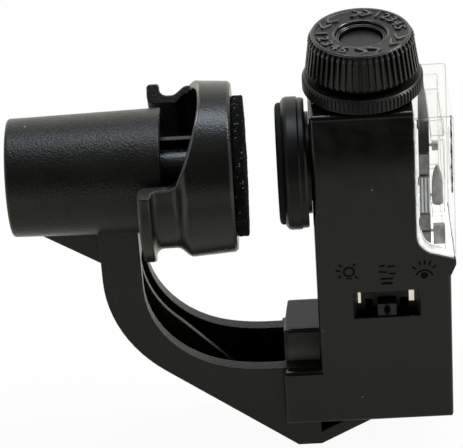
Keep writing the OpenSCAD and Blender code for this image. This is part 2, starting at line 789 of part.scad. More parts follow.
module objective_carriage() color(black) {
    back = focus_pitch_r + dedendum;
    carriage(objective_x0, objective_len, objective_ring_r, nose_r - 0.9, -back - rack_back, -back,
        focus_gear_z + gear_t);
    difference() {
        rod_x(objective_x0 + objective_len, objective_x0 + objective_len + nose_len, nose_r);
        rod_x(objective_x0, objective_x0 + objective_len + nose_len + 1, nose_r - 0.9);
    }
    mirror([0, 1, 0])
        rack(dial_x - focus_pitch_r - addendum - 0.4, objective_x0, dial_x, focus_pitch_r, focus_gear_z);
}

module objective_lens() color(clear_tint)
    lens(objective_x0 + objective_len + nose_len - lens_t - 0.6, lens_t, nose_r - 0.9 - seat_gap, 0.3);

module led_board() color([0.10, 0.30, 0.16])
    box([board_x0, -room_y + slide_gap, board_z[0]], [board_x0 + board_t, room_y - slide_gap, board_z[1]]);

// Holder behind the clear stage: a notched plate on four feet, thinner at the back,
// with holes for the lamps and the objective
module lamp_holder() color(black) {
    half = half_d - stage_wall - slide_gap;
    top = stage_top - stage_wall - 0.4;
    low = hood_c.y + 0.4;
    foot_r = shelf_r - hood_floor - 0.3;
    x1 = holder_x + holder_t;
    difference() {
        union() {
            intersection() {
                prism_y(concat([[holder_x, top], [holder_x, low]],
                    arc(hood_c, foot_r, 188, 180 + acos((hood_c.x - x1) / foot_r)), [[x1, top]]), -half, half);
                prism_z([[holder_x, -half], [x1, -half], [x1, half], [holder_x + holder_slant, half]],
                    low - shelf_r, top + 1);
            }
            for (y = [-half + 1, half - 1], z = [low + 1, top - 1])
                rod_x(stage_x0 + seat_gap, x1 - 0.3, 0.8, y, z);
        }
        rod_x(holder_x - 1, x1 + 1, nose_r + 0.6);
        for (s = [-1, 1]) {
            rod_x(holder_x - 1, x1 + 1, lamp_r + slide_gap, s * lamp_y, lamp_z);
            for (z = holder_notches)
                box([holder_x - 1, s > 0 ? half - 1.8 : -half - 1, z],
                    [x1 + 1, s > 0 ? half + 1 : 1.8 - half, z + 0.5]);
        }
    }
}

// Round lamp with a collar at its base and a domed tip
module lamp(y, tint) color(tint) translate([0, y, lamp_z]) turn_x(concat(
    [[0, board_x0 + board_t], [lamp_r + 0.2, board_x0 + board_t], [lamp_r + 0.2, board_x0 + board_t + 0.7],
     [lamp_r, board_x0 + board_t + 0.7]],
    [for (p = arc([0, stage_x0 - 0.6], lamp_r, 0, 90)) [p.x, p.y]]));

module white_led() lamp(lamp_y, white);

module uv_led() lamp(-lamp_y, [0.55, 0.5, 0.85]);

// Stamped front plate of the switch and the box behind it
module switch_frame() color(steel) {
    low = switch_z - switch_h / 2;
    lo = [switch_x - switch_w / 2, switch_y + seat_gap, low - 0.8];
    hi = [switch_x + switch_w / 2, switch_y + seat_gap + plate_t, low + switch_h + 0.8];
    difference() {
        union() {
            box(lo, hi);
            box([lo.x + 0.6, hi.y, lo.z + 0.4], [hi.x - 0.6, hi.y + switch_box_d, hi.z - 0.4]);
        }
        box([switch_x - slot_w / 2, lo.y - 1, low],
            [switch_x + slot_w / 2, hi.y + 0.2, low + stem_h + 2 * slide_gap]);
        box([lo.x + 1.2, hi.y, low - 0.2], [hi.x - 1.2, hi.y + switch_box_d - 0.6, low + switch_h]);
    }
}

module switch_terminals() color(gold) {
    low = switch_z - switch_h / 2;
    for (p = [[-terminal_left, terminal_thin], [terminal_right, terminal_wide]])
        box([switch_x + p[0], switch_y + seat_gap - terminal_t, low + terminal_low],
            [switch_x + p[0] + p[1], switch_y + seat_gap, low + terminal_high]);
}

module switch_slider() color([0.16, 0.16, 0.15]) {
    low = switch_z - switch_h / 2;
    y0 = switch_y + seat_gap + plate_t + slide_gap;
    back = switch_y - slide_gap / 2;
    difference() {
        prism_x([[-half_d + grip_y, grip_z0], [-half_d + grip_y - 0.1, grip_z0 + grip_h - 0.4],
            [-half_d + grip_y + 0.3, grip_z0 + grip_h], [back, grip_z0 + grip_h], [back, grip_z0]],
            switch_x - grip_w / 2, switch_x + grip_w / 2);
        translate([switch_x, -half_d + grip_y - 0.65, grip_z0 + grip_h / 2]) sphere(r = 0.9);
    }
    box([switch_x - grip_w / 2, back - 0.3, grip_z0], [switch_x + grip_w / 2, back, low + switch_h - 0.4]);
    box([switch_x - grip_w / 2, back - 0.3, grip_z0], [switch_x + grip_w / 2, y0 + 0.5, grip_z0 + stem_h]);
    box([switch_x - grip_w / 2 - 0.8, y0, grip_z0],
        [switch_x + grip_w / 2 + 0.8, y0 + 1.8, grip_z0 + stem_h + 1.6]);
}

module button_cells() color(steel) for (i = [0:cell_count - 1])
    translate([cell_x, cell_y0 + (i + 1) * cell_t, cell_z]) rotate([90, 0, 0]) rotate_extrude()
        polygon([[0, 0.01], [cell_r - 0.2, 0.01], [cell_r, 0.2], [cell_r, cell_t - 0.7],
            [cell_r - 0.5, cell_t - 0.35], [cell_r - 1, cell_t - 0.01], [0, cell_t - 0.01]]);

module battery_plate() color(gold)
    rod_y(cell_y0 - contact_t - 0.02, cell_y0 - 0.02, cell_r - 0.8, cell_x, cell_z);

// Strip on the inside of the door that presses on the last cell
module battery_rim_strip() color(gold)
    box([cell_x - strip_half, cell_y1 + 0.02, cell_z - cell_r + 1],
        [cell_x + strip_half, door_y0 - 0.02, cell_z + cell_r - 1]);

module battery_door() color(black) {
    difference() {
        intersection() {
            body_outside();
            door_shape(0);
        }
        for (i = [0:4])
            box([body_x1 - 6 + i, half_d - 0.35, cell_z - 5], [body_x1 - 5.5 + i, half_d + 1, cell_z + 5]);
    }
}

// Screw along Y with its head at the back
module screw_y(x, z, y0, head_y) {
    difference() {
        union() {
            rod_y(y0, head_y + 0.1, screw_r, x, z);
            rod_y(head_y, head_y + screw_head_h, screw_head_r, x, z);
        }
        for (a = [0, 90])
            translate([x, head_y + screw_head_h, z]) rotate([0, a, 0])
                cube([screw_head_r * 1.25, screw_head_h * 0.9, 0.45], center = true);
    }
}

module housing_screws() color(steel) for (x = screw_x, z = screw_z)
    screw_y(x, z, -room_y + 1, half_d - wall + 0.1 + seat_gap);

module arm_screws() color(steel) for (z = arm_screw_z)
    screw_y(arm_screw_x, z, 0.6, half_d - 1 + seat_gap);

// Outer edge of the arm, moved in by t: the upright, the bend, the straight run and the heel
function arm_outer(t) = concat(
    [[leg_x0 + t, -barrel_end_r / 2]],
    arc(bend_c, bend_r - t, 180, bend_a, 12),
    [[heel_x0 + t * tan((270 - bend_a) / 2), heel_z + t], [heel_x1, heel_z + t]]);

// Inner edge of the arm, from the foot round to the upright
arm_inner = concat(
    [[heel_x1, -arm_drop]],
    arc(sweep_c, sweep_r, 270, sweep_a, 6),
    arc(inner_c, inner_r, sweep_a, 180, 12),
    [[leg_x1, -barrel_end_r / 2]]);

// Ramp from the heel up to the underside of the body
module heel_ramp() {
    rise = -body_drop - seat_gap - heel_z;
    run = rise / 0.54;
    drop = arm_skin / cos(atan(0.54));
    prism_y([[heel_x1 - 0.5, heel_z], [heel_x1, heel_z], [heel_x1 + run, heel_z + rise],
        [heel_x1 + run - drop / 0.54, heel_z + rise], [heel_x1, heel_z + drop],
        [heel_x1 - 0.5, heel_z + drop]],
        -arm_half, arm_half);
}

module barrel_solid() {
    turn_x(concat(
        [for (i = [0:6]) [(barrel_end_r - 0.6) * i / 6, barrel_x0 + barrel_crown * pow(i / 6, 2)]],
        [for (p = arc([barrel_end_r - 0.6, barrel_x0 + barrel_crown + 0.6], 0.6, -90, 0, 4)) [p.x, p.y]],
        [[barrel_mouth_r, mouth_x - 0.3], [barrel_mouth_r - 0.3, mouth_x], [0, mouth_x]]));
}

// Web under the barrel in the arm's middle plane
module gusset() {
    reach = 12.8;
    fall = 8.7;
    prism_y([[leg_x0 - reach, -barrel_end_r + 1], [leg_x0 - reach, -barrel_end_r],
        [leg_x0 + 0.5, -barrel_end_r - fall], [leg_x0 + 0.5, -barrel_end_r + 1]],
        -gusset_t / 2, gusset_t / 2);
}

module clip_arm() color(black) difference() {
    union() {
        barrel_solid();
        gusset();
        difference() {
            prism_y(concat(arm_outer(0), arm_inner), -arm_half, arm_half);
            prism_y(concat([[leg_x0 + arm_skin, -barrel_mouth_r - 4]],
                [for (i = [1:len(arm_outer(arm_skin)) - 1]) arm_outer(arm_skin)[i]],
                [[heel_x1 + 1, heel_z + arm_skin], [heel_x1 + 1, 0], [leg_x1 + 1, 0],
                 [leg_x1 + 1, -barrel_mouth_r - 4]]), -channel_half, channel_half);
        }
        // low web along the middle of the channel
        intersection() {
            prism_y(concat(arm_outer(0), [[heel_x1, heel_z + arm_skin], [block_x0 - 1, heel_z + 5.2]],
                arc(bend_c, bend_r - web_h, 228, 180, 10), [[leg_x0 + web_h, -barrel_end_r / 2]]),
                -web_t / 2, web_t / 2);
            box([leg_x0 - 1, -web_t, heel_z - 1], [block_x0 - 1, web_t, -barrel_mouth_r + 1]);
        }
        heel_ramp();
    }
    rod_x(barrel_floor_x, mouth_x + 1, barrel_bore_r);
    for (z = arm_screw_z)
        rod_y(0, arm_half + 1, screw_r + seat_gap, arm_screw_x, z);
}

module guide_bush() color(black) difference() {
    rod_x(bush_x0, bush_x0 + bush_t, barrel_bore_r - seat_gap / 2);
    rod_x(bush_x0 - 1, bush_x0 + bush_t + 1, stem_r + run_gap);
    box([bush_x0 - 1, -fin_w / 2 - slide_gap, 0],
        [bush_x0 + bush_t + 1, fin_w / 2 + slide_gap, fin_h + slide_gap]);
}

// Turned cup with finger hooks that end at station x: face, band, neck and square lip, then the inside
module cup(x) {
    turn_x(concat(
        [[cup_r - 0.9, face_x], [cup_r - 0.5, face_x - 0.5]],
        ease(cup_r, neck_r, neck_x + 2.2, neck_x - 0.7),
        arc([neck_r + flare_r, x + lip_w + flare_r], flare_r, 180, 270, 5),
        arc([lip_r - 0.5, x + lip_w - 0.5], 0.5, 90, 0, 3),
        arc([lip_r - 0.7, x + 0.7], 0.7, 0, -90, 4),
        arc([neck_r - cup_wall + flare_r, x + flare_r], flare_r, 270, 180, 5),
        [[neck_r - cup_wall, neck_x], [cup_r - 1.6, neck_x + 1.6], [cup_r - 1.6, plate_x],
         [0, plate_x], [0, face_x]]));
}

// Part of the cup that is cut away between the hooks, at the front and top
module hook_gap() {
    intersection() {
        prism_x([[-25, ear_z], [-8, ear_z], [0, 0], 25 * [cos(ear_cut), sin(ear_cut)], [25, 30], [-25, 30]],
            hook_x - 5, face_x);
        prism_y(concat([[hook_x - 5, ear_z - 8], [hook_x - 0.1, ear_z - 4.6], [hook_x + 0.6, ear_z - 3],
            [hook_x + 1.8, ear_z - 1.5], [hook_x + 3.2, ear_z - 0.4]],
            arc([neck_x - 1.6, ear_z + 2.2], 2.2, -90, -28, 5),
            [[face_x - 5.4, cup_r - 0.6], [face_x - 4.8, cup_r + 4], [hook_x - 5, cup_r + 4]]), -25, 25);
    }
}

// Way for the arm's upright between the hooks, as far as the plunger is pulled
module upright_gap() {
    half = arm_half + leg_gap;
    prism_z(round_rect([hook_x - 5, -half], [leg_x1 + pull_travel + leg_gap, half], 1.2), -25, 0);
}

module plunger() color(black) {
    difference() {
        union() {
            intersection() {
                cup(hook_x);
                box([hook_x - 1, -25, -25], [face_x + 1, 0, 25]);
            }
            intersection() {
                cup(hook_x + rear_short);
                box([hook_x - 1, 0, -25], [face_x + 1, 25, 25]);
            }
        }
        hook_gap();
        upright_gap();
    }
    difference() {
        union() {
            rod_x(tail_x, plate_x + 0.5, stem_r);
            rod_x(tail_x - retainer_t, tail_x, tail_r);
            box([tail_x, -fin_w / 2, 0], [plate_x + 0.5, fin_w / 2, fin_h]);
        }
        rod_x(tail_x - retainer_t - 1, tail_x + retainer_thread + 1, screw_r + seat_gap / 2);
    }
}

module foam_pad() color([0.09, 0.09, 0.09])
    turn_x([[0, face_x], [pad_r, face_x], [pad_r, pad_x1 - 0.4], [pad_r - 0.4, pad_x1], [0, pad_x1]]);

// Centre line of the clip spring
function spring_point(t) = [spring_x0 + (spring_x1 - spring_x0) * t / spring_turns,
    spring_r * cos(360 * t), spring_r * sin(360 * t)];

// Corner k of the wire's six-sided section at turn t
function wire_point(t, k) = spring_point(t) + wire_d / 2 *
    [sin(60 * k), cos(60 * k) * cos(360 * t), cos(60 * k) * sin(360 * t)];

spring_steps = 8 * spring_turns;
spring_gap = min([for (i = [0:spring_steps], j = [i + 5:1:min(spring_steps, i + 11)])
    norm(spring_point(i / 8) - spring_point(j / 8))]) - wire_d;
echo(spring_gap = spring_gap);

module plunger_spring() color(steel) polyhedron(
    points = [for (i = [0:spring_steps], k = [0:5]) wire_point(i / 8, k)],
    faces = concat(
        [for (k = [1:4]) [0, k + 1, k]],
        [for (i = [0:spring_steps - 1], k = [0:5], h = [0, 1])
            let (a = 6 * i + k, b = 6 * i + (k + 1) % 6) h == 0 ? [a, b, b + 6] : [a, b + 6, a + 6]],
        [for (k = [1:4]) [6 * spring_steps, 6 * spring_steps + k, 6 * spring_steps + k + 1]]));

module plunger_retainer() color(steel) difference() {
    rod_x(tail_x - retainer_t, tail_x - 0.02, retainer_r);
    rod_x(tail_x - retainer_t - 1, tail_x + 1, tail_r + seat_gap);
}

module retainer_screw() color(steel) difference() {
    union() {
        rod_x(tail_x - retainer_t - 0.5, tail_x + retainer_thread, screw_r);
        rod_x(tail_x - retainer_t - retainer_head_t, tail_x - retainer_t - 0.02, retainer_head_r);
    }
    for (a = [0, 90])
        translate([tail_x - retainer_t - retainer_head_t, 0, 0]) rotate([a, 0, 0])
            cube([retainer_head_t, retainer_head_r * 1.1, 0.8], center = true);
}

front_housing();
rear_housing();
clear_stage();
eyepiece_barrel();
eyepiece_rubber_ring();
eyepiece_lens();
zoom_wheel();
zoom_sleeve();
zoom_carriage();
zoom_lens();
focus_knob();
knob_cap();
knob_screw();
focus_shaft();
objective_carriage();
objective_lens();
led_board();
lamp_holder();
white_led();
uv_led();
switch_frame();
switch_terminals();
switch_slider();
button_cells();
battery_plate();
battery_rim_strip();
battery_door();
housing_screws();
arm_screws();
clip_arm();
guide_bush();
plunger();
foam_pad();
plunger_spring();
plunger_retainer();
retainer_screw();
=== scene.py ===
import math

import bpy
from mathutils import Matrix, Vector


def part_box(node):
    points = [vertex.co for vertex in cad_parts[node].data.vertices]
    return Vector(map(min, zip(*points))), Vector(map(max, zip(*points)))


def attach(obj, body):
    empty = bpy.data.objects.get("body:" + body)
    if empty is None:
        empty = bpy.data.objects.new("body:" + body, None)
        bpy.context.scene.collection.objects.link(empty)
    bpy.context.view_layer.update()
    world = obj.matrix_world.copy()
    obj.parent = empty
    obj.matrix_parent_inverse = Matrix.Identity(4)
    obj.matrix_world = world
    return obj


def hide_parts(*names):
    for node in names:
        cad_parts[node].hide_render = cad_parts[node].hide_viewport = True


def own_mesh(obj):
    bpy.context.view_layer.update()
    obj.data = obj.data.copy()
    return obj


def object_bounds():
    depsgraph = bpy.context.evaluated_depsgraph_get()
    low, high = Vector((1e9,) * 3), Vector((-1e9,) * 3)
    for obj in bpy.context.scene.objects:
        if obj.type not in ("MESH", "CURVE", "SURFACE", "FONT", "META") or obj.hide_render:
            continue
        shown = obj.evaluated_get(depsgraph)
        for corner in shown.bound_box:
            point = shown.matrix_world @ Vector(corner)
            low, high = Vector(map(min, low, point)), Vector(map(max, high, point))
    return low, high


# A clip-on phone microscope. X runs along the optical axis, Z is up, lengths are in metres.
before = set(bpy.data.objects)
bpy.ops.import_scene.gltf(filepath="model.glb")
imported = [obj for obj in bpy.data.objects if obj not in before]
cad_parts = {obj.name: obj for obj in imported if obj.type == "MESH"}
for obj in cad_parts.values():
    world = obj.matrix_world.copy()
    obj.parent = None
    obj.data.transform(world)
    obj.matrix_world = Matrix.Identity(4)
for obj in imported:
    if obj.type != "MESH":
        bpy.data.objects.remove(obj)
cad_box = [list(corner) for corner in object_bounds()]
MM = 0.001
WARM_GREY = (1.0, 1.0, 0.8)


# Shader sums

class Signal:
    """A shader socket that takes part in sums. node() adds any other node to the same tree."""

    def __init__(self, tree, socket=None):
        self.tree = tree
        self.socket = socket

    def node(self, kind, settings=None, sockets=None, out=0):
        made = self.tree.nodes.new(kind)
        for name, value in (settings or {}).items():
            if name == "stops":
                while len(made.color_ramp.elements) < len(value):
                    made.color_ramp.elements.new(0.5)
                for stop, (place, colour) in zip(made.color_ramp.elements, value):
                    stop.position = place
                    stop.color = colour
            else:
                setattr(made, name, value)
        self.plug(made, sockets or {})
        return Signal(self.tree, made.outputs[out])

    def plug(self, made, sockets):
        for name, value in sockets.items():
            if isinstance(value, Signal):
                self.tree.links.new(value.socket, made.inputs[name])
            else:
                made.inputs[name].default_value = value

    def other(self, out):
        return Signal(self.tree, self.socket.node.outputs[out])

    def sum(self, operation, a, b):
        return self.node("ShaderNodeMath", {"operation": operation}, {0: a, 1: b})

    def __add__(self, b): return self.sum("ADD", self, b)
    def __radd__(self, a): return self.sum("ADD", a, self)
    def __sub__(self, b): return self.sum("SUBTRACT", self, b)
    def __rsub__(self, a): return self.sum("SUBTRACT", a, self)
    def __mul__(self, b): return self.sum("MULTIPLY", self, b)
    def __rmul__(self, a): return self.sum("MULTIPLY", a, self)
    def __truediv__(self, b): return self.sum("DIVIDE", self, b)
    def __rtruediv__(self, a): return self.sum("DIVIDE", a, self)
    def __gt__(self, b): return self.sum("GREATER_THAN", self, b)
    def __lt__(self, b): return self.sum("LESS_THAN", self, b)


def blank(name):
    made = bpy.data.materials.new(name)
    made.use_nodes = True
    return made, Signal(made.node_tree), made.node_tree.nodes["Principled BSDF"]


def place_of(s):
    return s.node("ShaderNodeTexCoord", out="Object")


def normal_of(s):
    return s.node("ShaderNodeNewGeometry", out="Normal")


def parts_of(s, vector):
    """A vector's three numbers."""
    across = s.node("ShaderNodeSeparateXYZ", {}, {"Vector": vector}, "X")
    return across, across.other("Y"), across.other("Z")


def dot(s, a, b):
    return s.node("ShaderNodeVectorMath", {"operation": "DOT_PRODUCT"}, {0: a, 1: b}, "Value")


def size_of(s, value):
    return s.node("ShaderNodeMath", {"operation": "ABSOLUTE"}, {0: value})


def stretched(s, place, scale):
    return s.node("ShaderNodeMapping", {}, {"Vector": place, "Scale": scale})


def cloud(s, place, size, detail=2.0, rough=0.5):
    """Soft noise whose lumps are about size millimetres across."""
    return s.node("ShaderNodeTexNoise", {}, {"Vector": place, "Scale": 1000 / size, "Detail": detail,
                                             "Roughness": rough})


def cells(s, place, size, feature="F1", out="Distance"):
    """Rounded cells about size millimetres across."""
    return s.node("ShaderNodeTexVoronoi", {"feature": feature}, {"Vector": place, "Scale": 1000 / size}, out)


def span(s, value, low, high, to_low=0.0, to_high=1.0):
    """Smooth step of a value from one range to another."""
    return s.node("ShaderNodeMapRange", {"interpolation_type": "SMOOTHSTEP"},
                  {"Value": value, "From Min": low, "From Max": high, "To Min": to_low, "To Max": to_high})


def blend(s, share, a, b):
    """Colour mix."""
    return s.node("ShaderNodeMix", {"data_type": "RGBA"}, {"Factor": share, 6: a, 7: b}, 2)


def tone(rgb, times=1.0):
    return (rgb[0] * times, rgb[1] * times, rgb[2] * times, 1.0)


def spots(s, place, size, radius, share):
    """Round spots in cells of size millimetres, of which about share are filled."""
    near = cells(s, place, size)
    pick = s.node("ShaderNodeSeparateColor", {}, {"Color": near.other("Color")})
    return (near < radius) * (pick > 1 - share)


def dust(s, place, size, share):
    return spots(s, place, size, 0.055, share)


def relief(s, height, depth, strength=1.0, normal=None):
    """Bump of depth millimetres, on the face or on a rounded normal."""
    sockets = {"Strength": strength, "Distance": depth * MM, "Height": height}
    if normal is not None:
        sockets["Normal"] = normal
    return s.node("ShaderNodeBump", {}, sockets)


def soft_edges(s, radius):
    """Normal rounded over the edges by radius millimetres, and a mask of those edges."""
    rounded = s.node("ShaderNodeBevel", {"samples": 6}, {"Radius": radius * MM})
    return rounded, span(s, 1 - dot(s, rounded, normal_of(s)), 0.004, 0.16)


def turned_up(s):
    """Share by which a face is turned up."""
    return span(s, parts_of(s, normal_of(s))[2], 0.3, 0.6)


def hollow_faces(s, place):
    """Mask of the faces that look in towards the X axis."""
    outwards = s.node("ShaderNodeVectorMath", {"operation": "MULTIPLY"}, {0: place, 1: (0, 1, 1)})
    return span(s, dot(s, outwards, normal_of(s)), -4 * MM, -1 * MM, 1.0, 0.0)


def upright_faces(s, place, low, high):
    """Mask of the faces that aren't turned up, between two corners and behind the first."""
    across, inwards, up = parts_of(s, place)
    inside = (across > low.x) * (across < high.x) * (up > low.z) * (up < high.z) * (inwards > low.y)
    return inside * (turned_up(s) < 0.5)


def mixed_surface(made, s, share, shader, other):
    """Shows other in place of the material's own shader, by a share."""
    own = Signal(s.tree, shader.outputs[0])
    mixed = s.node("ShaderNodeMixShader", {}, {"Fac": share, 1: own, 2: other})
    s.plug(made.node_tree.nodes["Material Output"], {"Surface": mixed})


# Finishes

def moulded_black(name, rgb, rough, grain, depth, gloss=0.5, edge=0.25, specks=0.12, spark=0.5, wear_and_highlight_by=0.55,
                  painted_shade_inside=False, painted_shade_and_light_boxes=()):
    """Black moulded plastic with a spark-eroded grain, its size and depth in millimetres.

    Faces that look in towards the X axis may be painted near black and dull: painted shade inside a hollow.
    So may upright faces in a box, as painted shade or light: each box has its low and high corner, its grey,
    and the grey at its foot.
    """
    made, s, shader = blank(name)
    place = place_of(s)
    fine = cloud(s, place, grain, 3.0, 0.6)
    pits = cells(s, place, grain * 1.3, "SMOOTH_F1")
    broad = cloud(s, place, 14, 3.0)
    smudge = cloud(s, place, 5, 4.0, 0.6)
    rounded, edge_wear_and_highlight = soft_edges(s, edge)
    height = fine * 0.7 + pits * 0.5
    peaks = span(s, height, 0.52, 0.78)
    body = blend(s, span(s, broad, 0.3, 0.7), tone(rgb, 0.86), tone(rgb, 1.14))
    body = blend(s, peaks * spark, body, tone(rgb, 1.7))
    # Rounded edges lightened: partly wear, partly a painted highlight.
    body = blend(s, edge_wear_and_highlight * wear_and_highlight_by, body, tone(rgb, 2.4))
    body = blend(s, dust(s, place, 3.4, specks), body, (0.28, 0.28, 0.27, 1))
    sheen = span(s, smudge, 0.25, 0.75, rough - 0.06, rough + 0.06) + (fine - 0.5) * 0.16
    if painted_shade_inside:
        # Inner faces painted near black and made rougher: painted shade inside the hollow.
        inside = hollow_faces(s, place)
        body = blend(s, inside, body, tone(WARM_GREY, 0.0015))
        sheen = sheen + inside * 0.5
    for low, high, grey, foot_grey in painted_shade_and_light_boxes:
        # Upright faces in the box painted darker or paler and made duller: painted shade in the switch
        # window, painted light on the foot block, paler towards its foot.
        inside = upright_faces(s, place, low, high)
        rise = span(s, parts_of(s, place)[2], low.z, low.z + 5 * MM)
        body = blend(s, inside, body, blend(s, rise, tone(WARM_GREY, foot_grey), tone(WARM_GREY, grey)))
        sheen = sheen + inside * 0.6
    s.plug(shader, {
        "Base Color": body,
        "Roughness": sheen,
        "Specular IOR Level": gloss,
        "Normal": relief(s, height, depth, normal=rounded)})
    return made


def soft_rubber(name):
    """Matte rubber with a dusty bloom."""
    made, s, shader = blank(name)
    place = place_of(s)
    fine = cloud(s, place, 0.2, 2.0)
    broad = cloud(s, place, 3.0, 4.0, 0.65)
    rounded, edge_wear_and_highlight = soft_edges(s, 0.2)
    body = blend(s, span(s, broad, 0.35, 0.7), (0.0030, 0.0030, 0.0030, 1), (0.0070, 0.0070, 0.0066, 1))
    # Edges lightened: partly wear, partly a painted highlight.
    body = blend(s, edge_wear_and_highlight * 0.4, body, (0.016, 0.016, 0.0155, 1))
    body = blend(s, dust(s, place, 2.8, 0.3), body, (0.75, 0.75, 0.73, 1))
    s.plug(shader, {
        "Base Color": body,
        "Roughness": span(s, broad, 0.2, 0.8, 0.62, 0.8),
        "Specular IOR Level": 0.25,
        "Normal": relief(s, fine, 0.02, 0.8, rounded)})
    return made


def open_foam(name):
    """Black open-cell foam: small pits between thin walls, the pits painted darker as shade, with painted
    glints as light specks.
    """
    made, s, shader = blank(name)
    place = place_of(s)
    pit = cells(s, place, 0.42, "SMOOTH_F1")
    wall = cells(s, place, 0.42, "DISTANCE_TO_EDGE")
    fine = cloud(s, place, 0.12, 2.0)
    painted_glint = spots(s, place, 0.46, 0.32, 0.18)
    # Pits painted darker than the walls: painted shade in the cells.
    body = blend(s, span(s, wall, 0.0, 0.12), (0.022, 0.022, 0.021, 1), (0.003, 0.003, 0.003, 1))
    body = blend(s, span(s, fine, 0.58, 0.78) * 0.5, body, (0.035, 0.035, 0.034, 1))
    # Light spots in the colour: painted glints.
    body = blend(s, painted_glint * 0.9, body, (0.24, 0.24, 0.23, 1))
    s.plug(shader, {
        "Base Color": body,
        "Roughness": span(s, fine, 0.3, 0.7, 0.8, 0.98),
        "Specular IOR Level": 0.05,
        "Normal": relief(s, (1 - pit) + fine * 0.4, 0.12)})
    return made


def clear_moulding(name):
    """Polished clear plastic with faint scratches and flow marks, grey along its edges as painted shade."""
    made, s, shader = blank(name)
    place = place_of(s)
    flow = cloud(s, place, 6, 2.0)
    scratch = cloud(s, stretched(s, place, (0.15, 1.0, 3.0)), 0.8, 3.0, 0.7)
    # Edges painted grey and let less light through: painted shade along the edges of the clear plastic.
    edge = soft_edges(s, 0.5)[1]
    s.plug(shader, {
        "Base Color": blend(s, edge, (0.99, 0.995, 0.995, 1), (0.10, 0.103, 0.103, 1)),
        "Roughness": span(s, scratch, 0.35, 0.75, 0.02, 0.09),
        "IOR": 1.42,
        "Transmission Weight": 1.0,
        "Normal": relief(s, flow + scratch * 0.1, 0.05, 0.25)})
    passing = s.node("ShaderNodeBsdfTransparent", {}, {"Color": (0.995, 0.995, 0.99, 1)})
    share = span(s, scratch, 0.3, 0.8, 0.97, 0.90) * (1 - edge * 0.9)
    mixed_surface(made, s, share, shader, passing)
    return made


def smoked_holder(name):
    """Smoked plastic of the lamp holder, with painted shade and light by height: dark at the top, ribbed in
    the middle with painted highlights on the ribs, paler between.
    """
    made, s, shader = blank(name)
    place = place_of(s)
    rib_pitch = 0.62 * MM
    mist = cloud(s, place, 1.3, 3.0)
    streak = cloud(s, stretched(s, place, (1.0, 1.0, 0.12)), 0.5, 3.0, 0.7)
    across, _, height = parts_of(s, place)
    ribs = s.node("ShaderNodeMath", {"operation": "SINE"}, {0: across * (2 * math.pi / rib_pitch)})
    ribbed = span(s, height, -7.4 * MM, -7.0 * MM) * span(s, height, 0.2 * MM, 0.6 * MM, 1.0, 0.0)
    upper = span(s, height, 5.4 * MM, 5.8 * MM)
    crown = span(s, height, 9.0 * MM, 12.0 * MM) * span(s, streak, 0.3, 0.7)
    # Colour by height is painted light and shade: dark above the ribs with paler streaks at the crown, pale
    # painted highlights on the ribs.
    body = blend(s, span(s, mist, 0.3, 0.7), (0.20, 0.20, 0.195, 1), (0.32, 0.32, 0.31, 1))
    body = blend(s, upper, body, (0.012, 0.012, 0.011, 1))
    body = blend(s, crown, body, (0.17, 0.17, 0.165, 1))
    body = blend(s, ribbed * span(s, ribs, -0.2, 0.2), body, (0.86, 0.87, 0.87, 1))
    s.plug(shader, {
        "Base Color": body,
        "Roughness": span(s, mist, 0.2, 0.8, 0.3, 0.5),
        "Normal": relief(s, ribs * ribbed, 0.05, 0.6)})
    return made


def smoked_clear(name):
    """Smoked clear plastic of the lamp guides, cloudy in streaks."""
    made, s, shader = blank(name)
    place = place_of(s)
    streak = cloud(s, stretched(s, place, (1.0, 1.0, 0.3)), 0.9, 3.0, 0.7)
    s.plug(shader, {
        "Base Color": blend(s, span(s, streak, 0.3, 0.7), (0.25, 0.25, 0.24, 1), (0.60, 0.60, 0.58, 1)),
        "Roughness": span(s, streak, 0.2, 0.8, 0.08, 0.25),
        "IOR": 1.46,
        "Transmission Weight": 0.4})
    return made


def bright_edge(name):
    """Cut edge of clear plastic, glowing by painted light: its emission stands in for light passing through
    it.
    """
    made, s, shader = blank(name)
    patch = cloud(s, place_of(s), 1.1, 3.0, 0.6)
    # Emission here is painted light; the edge is no lamp.
    s.plug(shader, {
        "Base Color": blend(s, span(s, patch, 0.35, 0.65), (0.78, 0.79, 0.77, 1), (0.95, 0.95, 0.93, 1)),
        "Roughness": span(s, patch, 0.2, 0.8, 0.1, 0.3),
        "Emission Color": blend(s, span(s, patch, 0.3, 0.55), (0.24, 0.24, 0.23, 1), (0.52, 0.52, 0.50, 1)),
        "Emission Strength": 1.0})
    return made


def painted_corner_shade(name):
    """Dark smears, painted as the shade along the stage's outer corner."""
    made, s, shader = blank(name)
    patch = cloud(s, place_of(s), 1.4, 4.0, 0.7)
    s.plug(shader, {
        "Base Color": blend(s, span(s, patch, 0.42, 0.62), (0.018, 0.018, 0.016, 1), (0.55, 0.55, 0.53, 1)),
        "Roughness": span(s, patch, 0.2, 0.8, 0.25, 0.5)})
    return made


